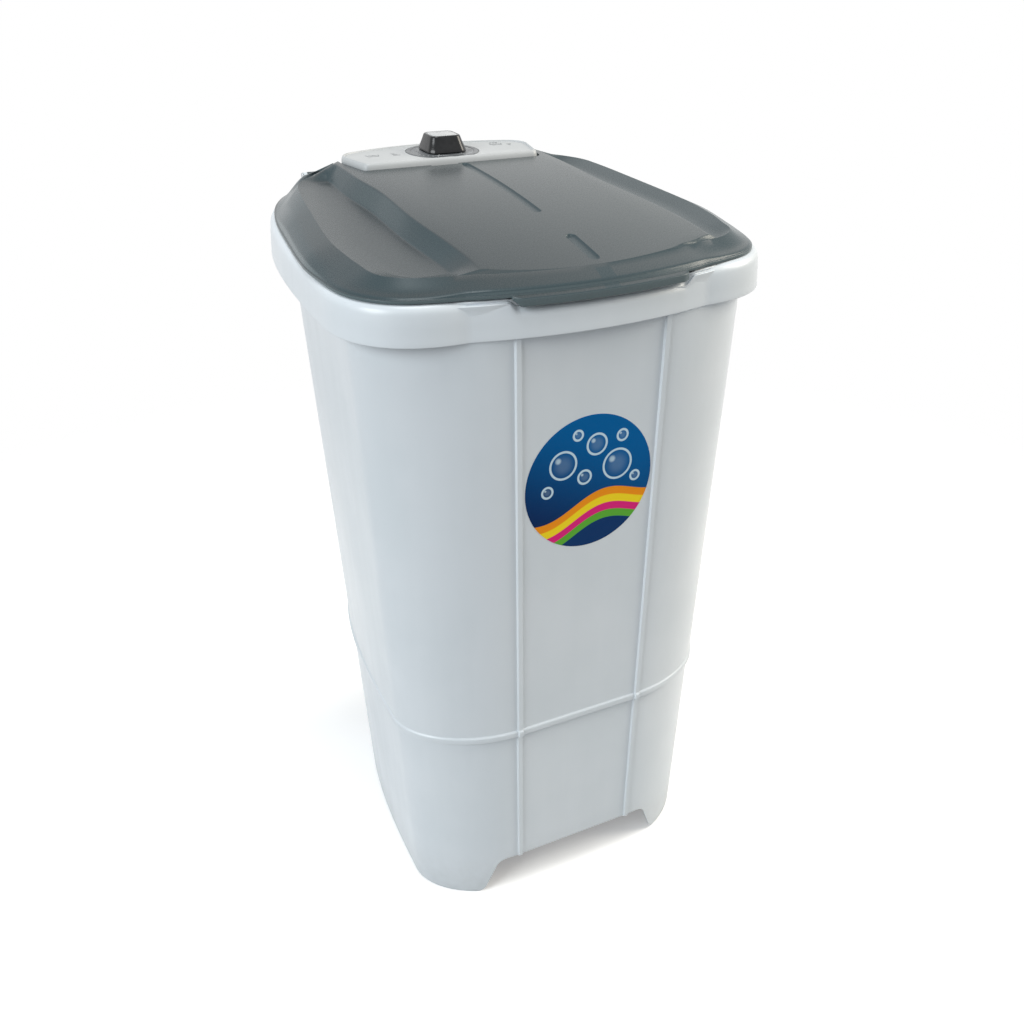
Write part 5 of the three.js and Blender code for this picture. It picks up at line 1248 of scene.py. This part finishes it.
light_ink = ink_finish("light_ink", (206, 209, 211), (190, 194, 197))
dark_ink = ink_finish("dark_ink", (84, 90, 95), (70, 76, 82))
knob_piece, knob_face = knob()
done(on_panel(knob_piece), "knob_moulding", "black_gloss", "knob", ["timer_knob"], 40)
# The knob's top face in a pale tone: a painted reflection
done(on_panel(knob_face), "knob_face", "black_gloss", "knob", (), 30, finishes["pale_print"])
done(on_panel(dial()), "dial_plate", "silver_print", "cabinet", ["dial_ring"], 34)
strokes = on_panel(gathered("dial_strokes", dial_marks() + dial_figures()))
done(strokes, "dial_strokes", "silver_print", "cabinet", (), 30, light_ink)
signs = on_panel(gathered("panel_signs", panel_marks()), 0)
done(signs, "panel_signs", "silver_print", "cabinet", (), 30, dark_ink)


# Printed film on the flat of the front, between the ribs

FILM_SIDES, FILM_OUT = 160, 0.28


def film():
    def ring(radius, out):
        made = []
        for i in range(FILM_SIDES):
            turn = 2 * pi * i / FILM_SIDES
            x, z = radius * cos(turn), FILM_HEIGHT + radius * sin(turn)
            made.append(Vector((x, -plan_at(z)["front"] - out, z)))
        return made

    edge = [(0, 0.03), (0, 0.2), (0.4, FILM_OUT), (3, FILM_OUT)]
    return loft("film", [ring(FILM_RADIUS - inset, out) for inset, out in edge])


done(film(), "front_film", "panel_plastic", "cabinet", (), 30, film_finish())


# Agitator, its cap and the lint filter inside the tub

DISC_LOW, DISC_RADIUS, DISC_TOP = PAD_TOP + 3, 105, PAD_TOP + 37
BLADE_START, BLADE_LONG, BLADE_SWEEP, BLADE_NOSE = 14, 85, 0.55, 0.1
BLADE_STEPS, BLADE_HIGH, BLADE_PEAK, BLADE_SUNK = 32, 8, 7, 1.5
DISC_EDGE, DISC_DOME, DISC_RUN = 6.4, 12, 3.5
CAP_RADIUS, CAP_FIT, CAP_DEEP, SCREW_HOLE = 14, 13.7, 8, 6.3
CENTRE = (0, AGITATOR_Y)


def disc_top(radius):
    return DISC_LOW + DISC_EDGE + DISC_DOME * (1 - smooth(radius / DISC_RADIUS))


def blade(number):
    """One swept vane: sections outwards, lower and thinner to its rounded nose."""
    sections = []
    for i in range(BLADE_STEPS + 1):
        share = i / BLADE_STEPS
        radius = BLADE_START + BLADE_LONG * share
        turn = pi / 2 * number + BLADE_SWEEP * share**2
        nose = sqrt(max(0.0, 1 - max(0.0, (share - 1 + BLADE_NOSE) / BLADE_NOSE)**2))
        half = (8 - 4 * share) / 2 * (0.35 + 0.65 * nose)
        disc = disc_top(radius)
        top = disc + (BLADE_HIGH + BLADE_PEAK * (1 - smooth(share)) - BLADE_SUNK) * nose
        right = [(half + 2, DISC_LOW + 2), (half + 1.6, disc - 0.4)]
        right += [(half, disc + 1.6 * nose), (half * 0.8, top)]
        flat = [(-half - 2, DISC_LOW + 2)] + right + [(-x, z) for x, z in right[:0:-1]]
        c, s = cos(turn), sin(turn)
        section = []
        for across, height in round_outline(flat, 1.4, 3):
            x, y = radius * c - across * s, AGITATOR_Y + radius * s + across * c
            section.append(Vector((x, y, height)))
        sections.append(section)
    return loft("blade", sections)


def agitator():
    slope = [DISC_RADIUS - DISC_RUN * i for i in range(1, 24)]
    rows = [
        ((SCREW_HOLE, DISC_LOW), 0), ((101, DISC_LOW), 1.5), ((DISC_RADIUS, DISC_LOW + 2), 2),
        ((103.5, disc_top(DISC_RADIUS)), 2), *[((radius, disc_top(radius)), 0) for radius in slope],
        ((17.2, disc_top(slope[-1]) + 0.6), 5), ((17, DISC_TOP - 1.5), 0.8), ((15.5, DISC_TOP), 0.6),
        ((CAP_RADIUS, DISC_TOP), 0.4), ((CAP_RADIUS, DISC_TOP - CAP_DEEP), 0),
        ((SCREW_HOLE, DISC_TOP - CAP_DEEP), 0),
    ]
    profile, radii = zip(*rows)
    body = joined(revolve(profile, 112, CENTRE, radii, 4), [blade(n) for n in range(4)])
    seat = rod(CAP_RADIUS, DISC_TOP - CAP_DEEP, DISC_TOP + 20, 96, CENTRE)
    return cut(body, [seat, rod(SCREW_HOLE, 0, DISC_TOP, 48, CENTRE)])


def agitator_cap():
    low = DISC_TOP - CAP_DEEP + CLEAR
    rows = [
        ((0, DISC_TOP - 3), 0), ((10, DISC_TOP - 3), 0), ((10, low), 0.4), ((CAP_FIT, low), 0.4),
        ((CAP_FIT, DISC_TOP), 2), ((10, DISC_TOP + 3.5), 3), ((0, DISC_TOP + 5), 0),
    ]
    profile, radii = zip(*rows)
    return revolve(profile, 72, CENTRE, radii, 5)


MESH_COLUMNS, MESH_ROWS, MESH_PITCH, MESH_HOLE = 5, 9, 14, 11
TAB_HALF, TAB_THICK = 12, 4


def lint_filter():
    low, high = FILTER_LOW, FILTER_LOW + FILTER_HEIGHT
    half = FILTER_WIDTH / 2 - CLEAR
    plate = block(FILTER_X - FILTER_THICK, FILTER_X, FILTER_Y - half, FILTER_Y + half, low, high)
    rib = MESH_PITCH - MESH_HOLE
    windows = []
    for i in range(MESH_COLUMNS):
        for j in range(MESH_ROWS):
            y = FILTER_Y + MESH_PITCH * (i - MESH_COLUMNS / 2) + rib / 2
            z = low + rib + MESH_PITCH * j
            through = (FILTER_X - 2 * FILTER_THICK, FILTER_X + FILTER_THICK)
            windows.append(block(*through, y, y + MESH_HOLE, z, z + MESH_HOLE))
    soften(cut(plate, windows), 0.6)
    sides, heights = (FILTER_Y - TAB_HALF, FILTER_Y + TAB_HALF), (high - 12, high - 12 + TAB_THICK)
    return joined(plate, [block(FILTER_X - 12, FILTER_X - 2.5, *sides, *heights, 1.2)])


done(agitator(), "agitator_moulding", "white_plastic", "agitator", ["agitator"], 38)
done(agitator_cap(), "agitator_cap_moulding", "white_plastic", "agitator", ["agitator_cap"], 38)
done(lint_filter(), "filter_moulding", "white_plastic", "filter", ["lint_filter"])


# Camera, light and floor

STAND = Vector((-0.49068, -1.09031, 1.12685))
YAW, PITCH, ROLL = radians(26.69), radians(36.55), radians(0.35)
LENS, LENS_SHIFT = 34.05, (-0.0240, 0.1342)
LAMPS = [
    ("key", (-3.25, -1.15, 2.4), 2.2, 88, (0.94, 0.985, 1.0)),
    ("fill", (3.1, -0.9, 2.3), 2.2, 106, (1.0, 0.93, 0.81)),
    ("over", (-0.3, -0.5, 4.4), 1.8, 54, (0.97, 0.99, 1.0)),
]
LIT_POINT = Vector((0, 0, 0.5))


def camera():
    right = Vector((cos(YAW), -sin(YAW), 0))
    ahead = Vector((sin(YAW) * cos(PITCH), cos(YAW) * cos(PITCH), -sin(PITCH)))
    up = right.cross(ahead)
    c, s = cos(ROLL), sin(ROLL)
    right, up = right * c + up * s, up * c - right * s
    lens = bpy.data.cameras.new("camera")
    lens.sensor_width, lens.lens = 36, LENS
    lens.shift_x, lens.shift_y = LENS_SHIFT
    eye = placed("camera", lens)
    eye.matrix_world = Matrix.Translation(STAND) @ Matrix((right, up, -ahead)).transposed().to_4x4()
    bpy.context.scene.camera = eye


def studio():
    for name, place, size, power, colour in LAMPS:
        light = bpy.data.lights.new(name, "AREA")
        light.shape, light.size, light.energy, light.color = "DISK", size, power, colour
        shown = placed(name, light)
        shown.location = place
        shown.rotation_mode = "QUATERNION"
        shown.rotation_quaternion = (LIT_POINT - Vector(place)).to_track_quat("-Z", "Y")
    world = bpy.data.worlds.new("studio")
    bpy.context.scene.world = world
    sky = Nodes(world)
    strength = sky.seen() * 0.7 + 0.3
    glow = sky.add("ShaderNodeBackground", {}, {"Color": (1, 1, 1, 1), "Strength": strength})
    sky.add("ShaderNodeOutputWorld", {}, {"Surface": glow})
    bpy.context.scene.view_settings.view_transform = "Standard"


def floor():
    """A pale floor that fades out, lit by itself where the camera sees it."""
    finish = Finish("pale_floor")
    cloud = finish.noise(3.0, 2.0, 0.5)
    x, y, _ = finish.axes()
    seen = finish.seen()
    pale = finish.mix(cloud, tone(250, 250, 250), tone(246, 247, 248))
    mesh = bpy.data.meshes.new("floor")
    mesh.from_pydata([(-2, -2, 0), (2, -2, 0), (2, 2, 0), (-2, 2, 0)], [], [(0, 1, 2, 3)])
    mesh.materials.append(finish.set(
        Base_Color=finish.mix(seen, tone(176, 178, 180), pale),
        Roughness=finish.between(cloud, 0.3, 0.7, 0.75, 0.85),
        Alpha=finish.between((x * x + y * y).maths("SQRT"), 1.9, 0.9),
        Emission_Color=finish.mix(seen, (0, 0, 0, 1), (1, 1, 1, 1)),
        Emission_Strength=0.26,
    ))
    ground = placed("floor", mesh)


camera()
studio()
floor()
